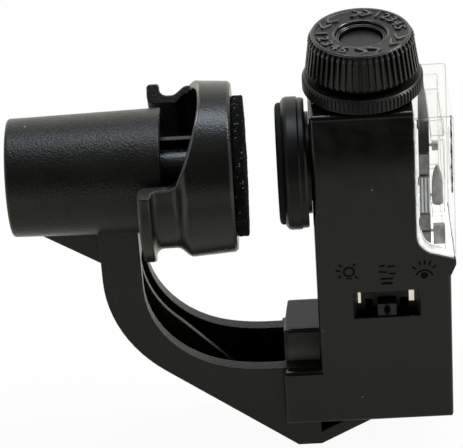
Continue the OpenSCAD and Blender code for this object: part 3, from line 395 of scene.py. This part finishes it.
def finger_grip(name):
    """Black sliding grip with a darker thumb hollow in the middle of its face, painted as shade; its top
    faces are painted dark as shade too.
    """
    made, s, shader = blank(name)
    place = place_of(s)
    low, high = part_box("switch_slider")
    middle = (low + high) / 2
    reach = (high - low) / 2
    wide = reach.x * 0.55
    near = s.node("ShaderNodeMapping", {}, {
        "Vector": place, "Location": (-middle.x / wide, 0, 0.5 - middle.z / reach.z),
        "Scale": (1 / wide, 0, 1 / reach.z)})
    away = s.node("ShaderNodeVectorMath", {"operation": "LENGTH"}, {0: near}, "Value")
    fine = cloud(s, place, 0.2, 3.0, 0.6)
    rounded, edge_wear_and_highlight = soft_edges(s, 0.15)
    # Middle of the face painted near black: painted shade of the thumb hollow.
    body = blend(s, span(s, away, 0.35, 0.55), (0.0012, 0.0012, 0.0011, 1), (0.045, 0.045, 0.043, 1))
    # Edges lightened: partly wear, partly a painted highlight.
    body = blend(s, edge_wear_and_highlight * 0.5, body, (0.07, 0.07, 0.068, 1))
    # Faces turned up painted near black: painted shade.
    body = blend(s, turned_up(s), body, (0.0015, 0.0015, 0.0014, 1))
    s.plug(shader, {
        "Base Color": body,
        "Roughness": span(s, fine, 0.2, 0.8, 0.5, 0.7),
        "Specular IOR Level": 0.06,
        "Normal": relief(s, fine, 0.02, 0.8, rounded)})
    return made


def lens_glass(name):
    """Coated glass."""
    made, s, shader = blank(name)
    film = cloud(s, place_of(s), 4, 2.0)
    s.plug(shader, {
        "Base Color": (0.95, 0.97, 0.98, 1),
        "Roughness": span(s, film, 0.3, 0.7, 0.0, 0.03),
        "IOR": 1.52,
        "Transmission Weight": 1.0,
        "Coat Weight": 0.4,
        "Coat Tint": (0.75, 0.8, 1.0, 1)})
    return made


def plated_metal(name, rgb, rough, metallic=1.0, glow=0.0):
    """Rolled or plated metal with a fine brushed grain and dull patches; glow adds painted light as emission,
    though the part is no lamp.
    """
    made, s, shader = blank(name)
    place = place_of(s)
    lines = cloud(s, stretched(s, place, (1.0, 1.0, 8.0)), 0.9, 3.0, 0.7)
    patch = cloud(s, place, 2.5, 3.0)
    rounded, edge_wear_and_highlight = soft_edges(s, 0.08)
    body = blend(s, span(s, patch, 0.35, 0.7), tone(rgb, 0.8), tone(rgb, 1.06))
    # Edges lightened: partly wear, partly a painted highlight.
    body = blend(s, edge_wear_and_highlight * 0.4, body, tone(rgb, 1.2))
    s.plug(shader, {
        "Base Color": body,
        "Metallic": metallic,
        # Emission is painted light, though the part is no lamp.
        "Emission Color": tone(rgb),
        "Emission Strength": glow,
        "Roughness": span(s, lines, 0.2, 0.8, rough - 0.08, rough + 0.12),
        "Normal": relief(s, lines, 0.01, 0.35, rounded)})
    return made


def circuit_board(name):
    """Green solder mask over copper tracks."""
    made, s, shader = blank(name)
    place = place_of(s)
    tracks = s.node("ShaderNodeTexBrick", {}, {"Vector": stretched(s, place, (1, 1, 0.6)), "Scale": 420.0,
                                               "Mortar Size": 0.03}, "Fac")
    weave = cloud(s, place, 0.4, 2.0)
    body = blend(s, tracks, (0.018, 0.075, 0.034, 1), (0.035, 0.13, 0.055, 1))
    body = blend(s, span(s, weave, 0.5, 0.8) * 0.3, body, (0.05, 0.16, 0.08, 1))
    s.plug(shader, {
        "Base Color": body,
        "Roughness": span(s, weave, 0.2, 0.8, 0.28, 0.45),
        "Normal": relief(s, tracks, 0.03, 0.4)})
    return made


def lamp_resin(name, rgb):
    """Cast resin of a lamp, cloudy in patches."""
    made, s, shader = blank(name)
    milk = cloud(s, place_of(s), 1.2, 2.0)
    s.plug(shader, {
        "Base Color": blend(s, span(s, milk, 0.3, 0.7), tone(rgb, 0.92), tone(rgb, 1.05)),
        "Roughness": span(s, milk, 0.2, 0.8, 0.05, 0.14),
        "IOR": 1.5,
        "Transmission Weight": 0.75,
        "Coat Weight": 0.3})
    return made


# The body's front face, and the boxes of painted shade in its switch window and painted light on its foot
# block

face_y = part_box("front_housing")[0].y
# The switch window's upright faces are painted near black: painted shade.
window_low, window_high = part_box("switch_terminals")
window_low = Vector((window_low.x - 1.6 * MM, face_y + 0.2 * MM, window_low.z - 3 * MM))
window_high = window_high + Vector((1.6 * MM, 0, 1.6 * MM))
# The foot block's upright faces are painted paler than the body, most at their foot: painted light.
foot_low = Vector((-5 * MM, face_y + 1.0 * MM, -40.2 * MM))
foot_high = Vector((5.9 * MM, 0, -28 * MM))

clip_black = moulded_black("clip_black", (0.0090, 0.0090, 0.0058), rough=0.30, grain=0.30, depth=0.095,
                           gloss=0.46, spark=0.6)
cup_black = moulded_black("cup_black", (0.0080, 0.0080, 0.0054), rough=0.24, grain=0.30, depth=0.06,
                          gloss=0.60, edge=0.45, painted_shade_inside=True)
body_black = moulded_black("body_black", (0.0055, 0.0055, 0.0036), rough=0.11, grain=0.20, depth=0.003,
                           gloss=0.54, spark=0.2, painted_shade_and_light_boxes=((window_low, window_high, 0.0015, 0.0015),
                                                              (foot_low, foot_high, 0.022, 0.13)))
ring_black = moulded_black("ring_black", (0.0045, 0.0045, 0.0032), rough=0.38, grain=0.16, depth=0.003,
                           gloss=0.38, spark=0.15, specks=0.2)
knob_black = moulded_black("knob_black", (0.0062, 0.0062, 0.0046), rough=0.30, grain=0.18, depth=0.006,
                           gloss=0.42, edge=0.12, spark=0.3, specks=0.05, wear_and_highlight_by=0.35)
inner_black = moulded_black("inner_black", (0.0090, 0.0090, 0.0088), rough=0.4, grain=0.25, depth=0.012,
                            gloss=0.3, specks=0.1)
trim = {"grain": 0.2, "depth": 0.004, "specks": 0.0}
rim_black = moulded_black("rim_black", (0.0110, 0.0110, 0.0090), rough=0.14, gloss=0.9, edge=0.06, **trim)
# Lighter copies of the black plastic for the nubs, the raised marks and the cup's lip: painted highlights.
nub_painted_highlight_black = moulded_black("nub_painted_highlight_black", (0.0340, 0.0340, 0.0310), rough=0.16, gloss=0.9, edge=0.06, **trim)
painted_highlight_black = moulded_black("painted_highlight_black", (0.0600, 0.0600, 0.0560), rough=0.2, gloss=0.8, edge=0.06, **trim)
ink_black = moulded_black("ink_black", (0.0012, 0.0012, 0.0010), rough=0.6, gloss=0.1, edge=0.03, **trim)
slider_black = finger_grip("slider_black")
holder_smoke = smoked_holder("holder_smoke")
guide_smoke = smoked_clear("guide_smoke")
painted_glow_edge = bright_edge("painted_glow_edge")
corner_shade_grey = painted_corner_shade("corner_shade_grey")
ring_rubber = soft_rubber("ring_rubber")
pad_foam = open_foam("pad_foam")
stage_clear = clear_moulding("stage_clear")
glass = lens_glass("lens_glass")
steel = plated_metal("plain_steel", (0.56, 0.55, 0.53), 0.32)
spring_steel = plated_metal("spring_steel", (0.50, 0.50, 0.49), 0.28)
frame_steel = plated_metal("switch_steel", (0.010, 0.010, 0.0095), 0.45, metallic=0.2)
# The terminals glow by painted light, though they are no lamp.
terminal_gold = plated_metal("terminal_gold", (0.95, 0.88, 0.76), 0.4, metallic=0.0, glow=0.5)
contact_gold = plated_metal("contact_gold", (0.80, 0.62, 0.30), 0.3)
board_green = circuit_board("board_green")
white_resin = lamp_resin("white_resin", (0.88, 0.88, 0.82))
violet_resin = lamp_resin("violet_resin", (0.50, 0.44, 0.82))

wearing = {
    clip_black: ["clip_arm", "guide_bush"],
    cup_black: ["plunger"],
    body_black: ["front_housing", "rear_housing", "battery_door"],
    ring_black: ["eyepiece_barrel"],
    knob_black: ["focus_knob", "knob_cap", "zoom_wheel"],
    inner_black: ["zoom_sleeve", "zoom_carriage", "objective_carriage"],
    holder_smoke: ["lamp_holder"],
    slider_black: ["switch_slider"],
    ring_rubber: ["eyepiece_rubber_ring"],
    pad_foam: ["foam_pad"],
    stage_clear: ["clear_stage"],
    glass: ["eyepiece_lens", "zoom_lens", "objective_lens"],
    steel: ["button_cells", "housing_screws", "arm_screws", "plunger_retainer", "retainer_screw",
            "knob_screw", "focus_shaft"],
    spring_steel: ["plunger_spring"],
    frame_steel: ["switch_frame"],
    terminal_gold: ["switch_terminals"],
    contact_gold: ["battery_plate", "battery_rim_strip"],
    board_green: ["led_board"],
    white_resin: ["white_led"],
    violet_resin: ["uv_led"],
}
for made, names in wearing.items():
    for name in names:
        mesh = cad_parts[name].data
        mesh.materials.clear()
        mesh.materials.append(made)


# Modelling helpers

def let_go():
    bpy.ops.object.select_all(action="DESELECT")


def pick(piece, mode, test):
    """Selects faces by middle and normal, edges by middle and direction, or corners by place and normal."""
    bpy.ops.object.mode_set(mode="EDIT")
    bpy.ops.mesh.select_mode(type=mode)
    bpy.ops.mesh.select_all(action="DESELECT")
    bpy.ops.object.mode_set(mode="OBJECT")
    mesh = piece.data
    if mode == "FACE":
        for face in mesh.polygons:
            face.select = test(face.center, face.normal)
    elif mode == "EDGE":
        for edge in mesh.edges:
            a, b = (mesh.vertices[i].co for i in edge.vertices)
            edge.select = test((a + b) / 2, b - a)
    else:
        for corner in mesh.vertices:
            corner.select = test(corner.co, corner.normal)
    bpy.ops.object.mode_set(mode="EDIT")


def edit_all():
    bpy.ops.object.mode_set(mode="EDIT")
    bpy.ops.mesh.select_all(action="SELECT")


def extrude(move):
    bpy.ops.mesh.extrude_region_move(TRANSFORM_OT_translate={"value": move})


def merge(within=0.001):
    """Merges all corners within so many millimetres of each other."""
    bpy.ops.mesh.select_all(action="SELECT")
    bpy.ops.mesh.remove_doubles(threshold=within * MM)


def done_editing():
    bpy.ops.mesh.select_mode(type="FACE")
    bpy.ops.mesh.select_all(action="SELECT")
    bpy.ops.mesh.normals_make_consistent(inside=False)
    bpy.ops.object.mode_set(mode="OBJECT")


def only(piece):
    let_go()
    piece.select_set(True)
    bpy.context.view_layer.objects.active = piece


def settle(piece):
    """Puts the piece's place, turn and size into its mesh."""
    only(piece)
    bpy.ops.object.transform_apply(location=True, rotation=True, scale=True)


def modify(piece, kind, **settings):
    only(piece)
    bpy.ops.object.modifier_add(type=kind)
    modifier = piece.modifiers[-1]
    for name, value in settings.items():
        setattr(modifier, name, value)
    bpy.ops.object.modifier_apply(modifier=modifier.name)


def copy_of(piece, name):
    again = piece.copy()
    again.data = piece.data.copy()
    again.name = name
    bpy.context.scene.collection.objects.link(again)
    return again


def joined(pieces, name):
    let_go()
    for piece in pieces:
        piece.select_set(True)
    bpy.context.view_layer.objects.active = pieces[0]
    bpy.ops.object.join()
    whole = bpy.context.view_layer.objects.active
    whole.name = name
    return whole


def dress(piece, made, body):
    piece.data.materials.clear()
    piece.data.materials.append(made)
    only(piece)
    bpy.ops.object.shade_smooth_by_angle(angle=math.radians(32))
    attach(piece, body)


def block(low, high, round_by):
    """A box between two corners in millimetres, its edges rounded."""
    let_go()
    bpy.ops.mesh.primitive_cube_add(size=1, location=[(a + b) / 2 * MM for a, b in zip(low, high)])
    made = bpy.context.object
    made.scale = [(b - a) * MM for a, b in zip(low, high)]
    settle(made)
    pick(made, "EDGE", lambda middle, run: True)
    bpy.ops.mesh.bevel(offset=round_by * MM, segments=2)
    done_editing()
    return made


def spun_ring(middle, axis, start, wire, sides, steps):
    """A round bead about an axis through middle, spun from a circle of wire millimetres at start."""
    let_go()
    upright = (math.pi / 2, 0, 0) if axis[2] else (0, 0, 0)
    bpy.ops.mesh.primitive_circle_add(vertices=sides, radius=wire * MM, rotation=upright, location=start)
    made = bpy.context.object
    settle(made)
    edit_all()
    bpy.ops.mesh.spin(steps=steps, angle=2 * math.pi, center=middle, axis=axis)
    merge()
    done_editing()
    return made


# Foam pad on the plunger's face

def foam_disc():
    low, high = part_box("foam_pad")
    radius, thick = high.z - 0.14 * MM, high.x - low.x - 0.12 * MM
    let_go()
    bpy.ops.mesh.primitive_cylinder_add(vertices=72, radius=radius, depth=thick, rotation=(0, math.pi / 2, 0),
                                        location=((low.x + high.x) / 2 - 0.03 * MM, 0, 0))
    disc = bpy.context.object
    disc.name = "foam_disc"
    settle(disc)
    pick(disc, "FACE", lambda middle, normal: abs(normal.x) > 0.9)
    bpy.ops.mesh.inset(thickness=0.3 * MM)
    pick(disc, "EDGE", lambda middle, run: middle.yz.length > high.z - 0.2 * MM and abs(run.x) < 1e-6)
    bpy.ops.mesh.bevel(offset=0.28 * MM, segments=3)
    done_editing()
    modify(disc, "REMESH", mode="VOXEL", voxel_size=0.2 * MM)
    for kind, size, strength in (("CLOUDS", 3.0, 0.16), ("VORONOI", 0.42, 0.14), ("CLOUDS", 0.5, 0.12)):
        lumps = bpy.data.textures.new("foam_" + kind.lower(), kind)
        lumps.noise_scale = size * MM
        modify(disc, "DISPLACE", texture=lumps, texture_coords="LOCAL", strength=strength * MM,
               mid_level=0.62)
    dress(disc, pad_foam, "clip_plunger")
    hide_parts("foam_pad")


foam_disc()


# Lip of the cup's front cut

def cup_lip():
    """Rounded lip along the front cut of the cup, drawn from the sharp edges of the plunger."""
    cut_start, cut_end, cut_foot, cut_top_y = -22.45 * MM, -9.8 * MM, 3.9 * MM, -1.5 * MM
    neck_end, neck_inside, cup_inside = -17.85 * MM, 14.15 * MM, 14.35 * MM
    lip = bpy.data.objects.new("cup_lip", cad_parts["plunger"].data.copy())
    bpy.context.scene.collection.objects.link(lip)
    only(lip)
    edit_all()
    merge()
    bpy.ops.mesh.select_mode(type="EDGE")
    bpy.ops.mesh.select_all(action="DESELECT")
    bpy.ops.mesh.edges_select_sharp(sharpness=math.radians(40))
    bpy.ops.object.mode_set(mode="OBJECT")
    mesh = lip.data
    for edge in mesh.edges:
        a, b = (mesh.vertices[i].co for i in edge.vertices)
        middle = (a + b) / 2
        inside = cup_inside if middle.x > neck_end else neck_inside
        edge.select = (edge.select and cut_start < middle.x < cut_end and middle.y < cut_top_y
                       and middle.z > cut_foot and middle.yz.length > inside)
    bpy.ops.object.mode_set(mode="EDIT")
    bpy.ops.mesh.select_all(action="INVERT")
    bpy.ops.mesh.delete(type="EDGE")
    merge(0.06)
    bpy.ops.object.mode_set(mode="OBJECT")
    bpy.ops.object.convert(target="CURVE")
    lip.data.bevel_depth = 0.21 * MM
    lip.data.bevel_resolution = 2
    lip.data.use_fill_caps = True
    bpy.ops.object.convert(target="MESH")
    bpy.ops.object.mode_set(mode="EDIT")
    done_editing()
    # The lip wears the lighter black: a painted highlight.
    dress(lip, painted_highlight_black, "clip_plunger")


cup_lip()


# Clip spring, wound from round wire

def wound_spring():
    turns, wire, coil, first, last = 6, 0.5 * MM, 6.2 * MM, -46.35 * MM, -29.55 * MM
    let_go()
    bpy.ops.mesh.primitive_circle_add(vertices=10, radius=wire, fill_type="NOTHING",
                                      location=(first, coil, 0))
    spring = bpy.context.object
    spring.name = "wound_spring"
    settle(spring)
    modify(spring, "SCREW", axis="X", angle=2 * math.pi, screw_offset=(last - first) / turns,
           iterations=turns, steps=32, render_steps=32)
    bpy.ops.object.mode_set(mode="EDIT")
    bpy.ops.mesh.select_mode(type="EDGE")
    bpy.ops.mesh.select_all(action="DESELECT")
    bpy.ops.mesh.select_non_manifold()
    bpy.ops.mesh.fill()
    done_editing()
    dress(spring, spring_steel, "clip_plunger")
    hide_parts("plunger_spring")
    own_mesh(spring)


wound_spring()


# Raised marks on the focus knob's dished top

knob_low, knob_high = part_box("focus_knob")
knob_x = (knob_low.x + knob_high.x) / 2
mark_top = knob_high.z - 0.02 * MM
mark_middle = mark_top - 0.2 * MM


def chevron_mark():
    """One raised chevron, its tip on the X axis and pointing to -Y."""
    radius = 6.95 * MM
    let_go()
    bpy.ops.mesh.primitive_cube_add(size=1, location=(radius, 0, mark_middle))
    mark = bpy.context.object
    mark.scale = (0.4 * MM, 0.7 * MM, 0.4 * MM)
    settle(mark)
    for side, back in ((-1, 1.4 * MM), (1, 1.6 * MM)):
        pick(mark, "FACE", lambda middle, normal: normal.x * side > 0.9)
        extrude((side * 1.0 * MM, back, 0))
        bpy.ops.object.mode_set(mode="OBJECT")
    pick(mark, "EDGE", lambda middle, run: middle.z > mark_top - 0.01 * MM)
    bpy.ops.mesh.bevel(offset=0.07 * MM, segments=2)
    done_editing()
    return mark


def numeral(figure, outwards):
    """One raised figure of the dial, its middle on the X axis."""
    radius = 6.9 * MM
    let_go()
    bpy.ops.object.text_add()
    made = bpy.context.object
    made.data.body = figure
    made.data.size = 2.8 * MM
    made.data.resolution_u = 3
    made.data.align_x, made.data.align_y = "CENTER", "CENTER"
    made.data.extrude = 0.16 * MM
    made.data.bevel_depth = 0.04 * MM
    only(made)
    bpy.ops.object.convert(target="MESH")
    made = bpy.context.object
    made.rotation_euler = (0, 0, -math.pi / 2 if outwards else math.pi / 2)
    made.location = (radius, 0, mark_middle)
    settle(made)
    return made


def knob_marks():
    chevron_turns = ((160, -1), (142, -1), (-86, -1), (-66, -1), (89, 1), (74, 1), (-24, 1), (-43, 1))
    numeral_rows = ((62, -13.5, True), (178, 16, False))
    first = chevron_mark()
    marks = []
    for turn, flip in chevron_turns:
        again = copy_of(first, "chevron")
        again.scale = (1, flip, 1)
        again.rotation_euler = (0, 0, math.radians(turn))
        marks.append(again)
    bpy.data.objects.remove(first)
    for start, step, outwards in numeral_rows:
        for i, figure in enumerate("12345"):
            again = numeral(figure, outwards)
            again.rotation_euler = (0, 0, math.radians(start + step * i))
            marks.append(again)
    for again in marks:
        again.location = (knob_x, 0, 0)
        settle(again)
    whole = joined(marks, "knob_marks")
    bpy.ops.object.mode_set(mode="EDIT")
    done_editing()
    # The marks wear the lighter black: painted highlights.
    dress(whole, painted_highlight_black, "focus_dial")


def knob_rings():
    """Flat rim round the knob's top, and the beads of its stepped recess."""
    rim_radius, rim_height = 8.8 * MM, 0.36 * MM
    beads = ((4.86, 0.36, 0.66), (4.36, 0.20, 1.10), (4.02, 0.17, 1.22))
    let_go()
    bpy.ops.mesh.primitive_cylinder_add(vertices=128, radius=rim_radius, depth=rim_height,
                                        end_fill_type="NOTHING",
                                        location=(knob_x, 0, mark_top - rim_height / 2))
    rim = bpy.context.object
    settle(rim)
    modify(rim, "SOLIDIFY", thickness=0.6 * MM, offset=-1.0)
    pick(rim, "EDGE", lambda middle, run: middle.z > mark_top - 0.14 * MM
         and (middle - Vector((knob_x, 0, middle.z))).length > rim_radius - 0.3 * MM and abs(run.z) < 1e-7)
    bpy.ops.mesh.bevel(offset=0.22 * MM, segments=3)
    done_editing()
    rings = [rim]
    for radius, wire, drop in beads:
        level = mark_top - drop * MM
        start = (knob_x + radius * MM, 0, level)
        rings.append(spun_ring((knob_x, 0, level), (0, 0, 1), start, wire, sides=12, steps=96))
    dress(joined(rings, "knob_rings"), rim_black, "focus_dial")


def knob_nubs():
    """Rounded upper ends of the knob's ridges."""
    ridges, radius, drop = 52, 8.98 * MM, 0.92 * MM
    let_go()
    bpy.ops.mesh.primitive_cube_add(size=1)
    first = bpy.context.object
    first.scale = (0.52 * MM, 0.62 * MM, 1.1 * MM)
    settle(first)
    pick(first, "FACE", lambda middle, normal: normal.z > 0.9)
    bpy.ops.transform.resize(value=(0.7, 0.8, 1))
    bpy.ops.object.mode_set(mode="OBJECT")
    pick(first, "EDGE", lambda middle, run: True)
    bpy.ops.mesh.bevel(offset=0.18 * MM, segments=2)
    done_editing()
    first.rotation_euler = (0, math.radians(-30), 0)
    first.location = (radius, 0, mark_top - drop)
    settle(first)
    nubs = []
    for i in range(ridges):
        again = copy_of(first, "nub")
        again.rotation_euler = (0, 0, math.radians(360 / ridges * i))
        again.location = (knob_x, 0, 0)
        settle(again)
        nubs.append(again)
    bpy.data.objects.remove(first)
    # The nubs wear a lighter black: painted highlights.
    dress(joined(nubs, "knob_nubs"), nub_painted_highlight_black, "focus_dial")


knob_marks()
knob_rings()
knob_nubs()


# Printed marks above the lamp switch, on the front face

def bar(x, z, width, height, turn):
    """A thin printed bar on the front face, its corners cut."""
    let_go()
    bpy.ops.mesh.primitive_plane_add(size=1, rotation=(math.pi / 2, 0, 0))
    made = bpy.context.object
    made.scale = (width * MM, height * MM, 1)
    settle(made)
    pick(made, "VERT", lambda place, normal: True)
    bpy.ops.mesh.bevel(offset=min(width, height) * 0.28 * MM, segments=2, affect="VERTICES")
    bpy.ops.mesh.select_all(action="SELECT")
    extrude((0, -0.04 * MM, 0))
    done_editing()
    made.rotation_euler = (0, math.radians(turn), 0)
    made.location = (x * MM, face_y + 0.01 * MM, z * MM)
    settle(made)
    return made


def ring(x, z, outer, inner, arch=False):
    """A printed ring on the front face, or the upper arch of one."""
    start = ((outer + inner) / 2 * MM, 0, 0)
    made = spun_ring((0, 0, 0), (0, 1, 0), start, (outer - inner) / 2, sides=6, steps=28)
    made.scale = (1, 0.06 / (outer - inner), 1)
    settle(made)
    if arch:
        edit_all()
        bpy.ops.mesh.bisect(plane_co=(0, 0, 0.25 * outer * MM), plane_no=(0, 0, 1), use_fill=True,
                            clear_inner=True)
        done_editing()
    made.location = (x * MM, face_y, z * MM)
    settle(made)
    return made


def switch_marks():
    """A round lamp, a stack of bars and a shaded lamp. Each bar is x, z, width, height and turn."""
    round_lamp = ((11.9, -19.35, 1.1, 0.3, 0), (9.9, -17.6, 0.9, 0.34, 0), (10.2, -18.9, 0.8, 0.34, -35),
                  (10.4, -16.5, 0.8, 0.34, 40), (13.2, -19.2, 0.8, 0.34, 40), (12.9, -16.4, 0.7, 0.34, -35))
    stack = ((17.9, -17.0, 1.1, 0.36, -8), (19.5, -17.15, 1.5, 0.36, 0), (18.0, -18.3, 1.5, 0.36, 8),
             (19.7, -18.75, 1.3, 0.36, 0), (18.7, -19.8, 2.3, 0.4, 0), (18.7, -20.8, 2.1, 0.5, 0))
    rays = ((24.7, -16.8, 0.34, 1.0, -12), (25.6, -16.7, 0.34, 1.0, 0), (26.5, -16.9, 0.34, 1.0, 14),
            (23.7, -17.8, 0.9, 0.32, 40), (27.3, -17.7, 0.9, 0.32, -40))
    parts = [ring(11.9, -17.9, 1.15, 0.72)]
    parts += [bar(*place) for place in round_lamp + stack]
    parts += [ring(25.5, -19.9, 1.75, 1.35, arch=True), ring(25.5, -19.5, 0.75, 0.05)]
    parts += [bar(*place) for place in rays]
    dress(joined(parts, "switch_marks"), ink_black, "microscope")


switch_marks()


# Lamp guides, painted glowing edge and painted corner shade of the clear stage

stage_low, stage_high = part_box("clear_stage")


def lamp_guides():
    """Upper and lower guide on struts from the holder's outer face, and a drawn-out bulb between them."""
    holder_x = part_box("lamp_holder")[1].x / MM
    pieces = [block((27.45, -7.9, 5.9), (28.5, -6.9, 7.3), 0.1),
              block((27.4, -7.9, -13.9), (29.5, -6.9, -9.8), 0.15)]
    pieces += [block((holder_x, -7.2, z), (27.6, -6.95, z + 0.5), 0.05) for z in (6.4, -11.6, -4.0)]
    let_go()
    bpy.ops.mesh.primitive_cylinder_add(vertices=32, radius=1.0 * MM, depth=4.2 * MM,
                                        location=(28.3 * MM, -6.95 * MM, -3.4 * MM))
    bulb = bpy.context.object
    settle(bulb)
    for rise, narrow in ((1.0, 0.9), (1.2, 0.75), (0.9, 0.6), (0.5, 0.4)):
        pick(bulb, "FACE", lambda middle, normal: normal.z > 0.9)
        extrude((0, 0, rise * MM))
        bpy.ops.transform.resize(value=(narrow, narrow, 1))
        bpy.ops.object.mode_set(mode="OBJECT")
    pick(bulb, "FACE", lambda middle, normal: True)
    done_editing()
    dress(joined(pieces + [bulb], "lamp_guides"), guide_smoke, "microscope")


def stage_edge():
    """Bright edge of the clear stage, glowing by painted light, down beside the body, round the shelf and out
    to its lip.
    """
    bend, half, side, level = 4.2 * MM, 0.21 * MM, stage_low.x + 0.32 * MM, stage_low.z + 5.35 * MM
    front, back = stage_low.y + 0.15 * MM, stage_high.y - 0.5 * MM
    let_go()
    bpy.ops.mesh.primitive_plane_add(size=1, location=(side, (front + back) / 2, level))
    shelf = bpy.context.object
    shelf.scale = (2 * half, back - front, 1)
    settle(shelf)
    edit_all()
    bpy.ops.mesh.spin(steps=14, angle=math.radians(72), center=(stage_low.x + bend, stage_low.y, level),
                      axis=(0, 1, 0))
    extrude((3.6 * MM, 0, -1.12 * MM))
    merge()
    done_editing()
    upright = block(((side - half) / MM, front / MM, level / MM),
                    ((side + half) / MM, front / MM + 0.9, stage_high.z / MM - 1.0), 0.05)
    dress(joined([shelf, upright], "stage_edge"), painted_glow_edge, "microscope")


def stage_corner_shade():
    """Uneven dark strip down the stage's outer corner: painted shade."""
    let_go()
    bpy.ops.mesh.primitive_grid_add(x_subdivisions=2, y_subdivisions=30, size=1, rotation=(math.pi / 2, 0, 0))
    shade_strip = bpy.context.object
    shade_strip.name = "stage_corner_shade"
    shade_strip.scale = (0.3 * MM, 16 * MM, 1)
    settle(shade_strip)
    edit_all()
    bpy.ops.transform.vertex_random(offset=0.13 * MM, seed=4)
    extrude((0, 0.2 * MM, 0))
    done_editing()
    shade_strip.location = (stage_high.x - 0.5 * MM, stage_low.y + 0.5 * MM, 5.5 * MM)
    settle(shade_strip)
    dress(shade_strip, corner_shade_grey, "microscope")


lamp_guides()
stage_edge()
stage_corner_shade()


# Floor, light and camera

def white_floor():
    """White table. Seen in gloss it falls off towards its front edge, as under a light from behind."""
    made, s, shader = blank("white_floor")
    place = place_of(s)
    across, depth, _ = parts_of(s, place)
    near = span(s, depth, -0.05, -0.02, 0.43, 0.38) + span(s, depth, -0.01, 0.05, 0.0, 0.62)
    front_edge = span(s, depth, -0.113, -0.106, 0.03, 1.0)
    beyond = span(s, depth, -0.138, -0.129, 0.34, 0.0)
    beside = span(s, size_of(s, across), 0.05, 0.10)
    table = s.sum("MAXIMUM", near * front_edge + beyond, beside * 0.85)
    mirrored = blend(s, table, (0, 0, 0, 1), (0.97, 1.0, 0.87, 1))
    paper = cloud(s, place, 2.0, 2.0)
    s.plug(shader, {
        "Base Color": blend(s, paper, (0.90, 0.90, 0.90, 1), (0.93, 0.93, 0.93, 1)),
        "Roughness": 0.9,
        "Specular IOR Level": 0.1})
    ray = s.node("ShaderNodeLightPath", out="Is Camera Ray")
    gloss = ray.other("Is Glossy Ray")
    straight = s.sum("MAXIMUM", ray, ray.other("Is Transmission Ray")) * 0.95
    shown = blend(s, gloss, (1, 1, 1, 1), mirrored)
    glow = s.node("ShaderNodeEmission", {}, {"Color": shown, "Strength": 1.0})
    mixed_surface(made, s, s.sum("MAXIMUM", straight, gloss), shader, glow)
    let_go()
    bpy.ops.mesh.primitive_plane_add(size=6, location=(0, 0, cad_box[0][2]))
    floor = bpy.context.object
    floor.name = "floor"
    settle(floor)
    floor.data.materials.append(made)


def studio_room():
    """White backdrop behind the part, a paler ceiling and a dark room behind the camera."""
    room = bpy.data.worlds.new("studio")
    bpy.context.scene.world = room
    room.use_nodes = True
    s = Signal(room.node_tree)
    across, depth, up = parts_of(s, s.node("ShaderNodeTexCoord", out="Generated"))
    turn = s.node("ShaderNodeMath", {"operation": "ARCTAN2"}, {0: up, 1: depth})
    sky = s.node("ShaderNodeValToRGB", {"stops": [
        (0.0, (0.92, 0.92, 0.86, 1)), (0.18, (1.0, 1.0, 0.97, 1)), (0.25, (0.36, 0.38, 0.42, 1)),
        (0.50, (0.30, 0.32, 0.36, 1)), (0.64, (0.12, 0.13, 0.14, 1)), (0.78, (0.022, 0.022, 0.022, 1)),
        (1.0, (0.02, 0.02, 0.02, 1))]}, {"Fac": size_of(s, turn / math.pi)})
    sky = blend(s, span(s, size_of(s, across), 0.45, 0.9), sky, (0.55, 0.56, 0.58, 1))
    s.plug(room.node_tree.nodes["Background"], {"Color": sky, "Strength": 1.0})


def softbox(name, place, target, width, height, power, tint):
    lamp = bpy.data.lights.new(name, "AREA")
    lamp.shape = "RECTANGLE"
    lamp.size, lamp.size_y = width, height
    lamp.energy = power
    lamp.color = tint
    made = bpy.data.objects.new(name, lamp)
    bpy.context.scene.collection.objects.link(made)
    made.location = place
    made.rotation_euler = (Vector(target) - Vector(place)).to_track_quat("-Z", "Y").to_euler()


def photo_camera():
    """Camera of the photograph. The frame's origin falls on one pixel of it."""
    down, round_by, roll = 33, 2, -4.1
    focal, depth, wide, tall = 2600.0, 0.468, 463, 448
    origin_column, origin_row = 277.1, 163.9
    sensor = 36
    turn = (Matrix.Rotation(math.radians(round_by), 3, "Z") @ Matrix.Rotation(math.radians(90 - down), 3, "X")
            @ Matrix.Rotation(math.radians(roll), 3, "Z"))
    right, up, back = turn.col[0], turn.col[1], turn.col[2]
    lens = bpy.data.cameras.new("photo_camera")
    lens.sensor_fit = "HORIZONTAL"
    lens.sensor_width = sensor
    lens.lens = focal * sensor / wide
    lens.clip_start, lens.clip_end = 0.01, 20
    made = bpy.data.objects.new("photo_camera", lens)
    bpy.context.scene.collection.objects.link(made)
    place = depth * (back - right * ((origin_column - wide / 2) / focal)
                     + up * ((origin_row - tall / 2) / focal))
    made.matrix_world = Matrix.Translation(place) @ turn.to_4x4()
    bpy.context.scene.camera = made


white_floor()
studio_room()
softbox("key_box", place=(0.03, 0.085, 0.50), target=(0, 0, 0), width=0.36, height=0.17, power=1.0,
        tint=(0.80, 0.88, 1.0))
softbox("side_box", place=(0.40, 0.07, 0.42), target=(0, 0, 0.02), width=0.18, height=0.26, power=1.9,
        tint=(1.0, 1.0, 0.98))
photo_camera()
bpy.context.scene.view_settings.view_transform = "Standard"
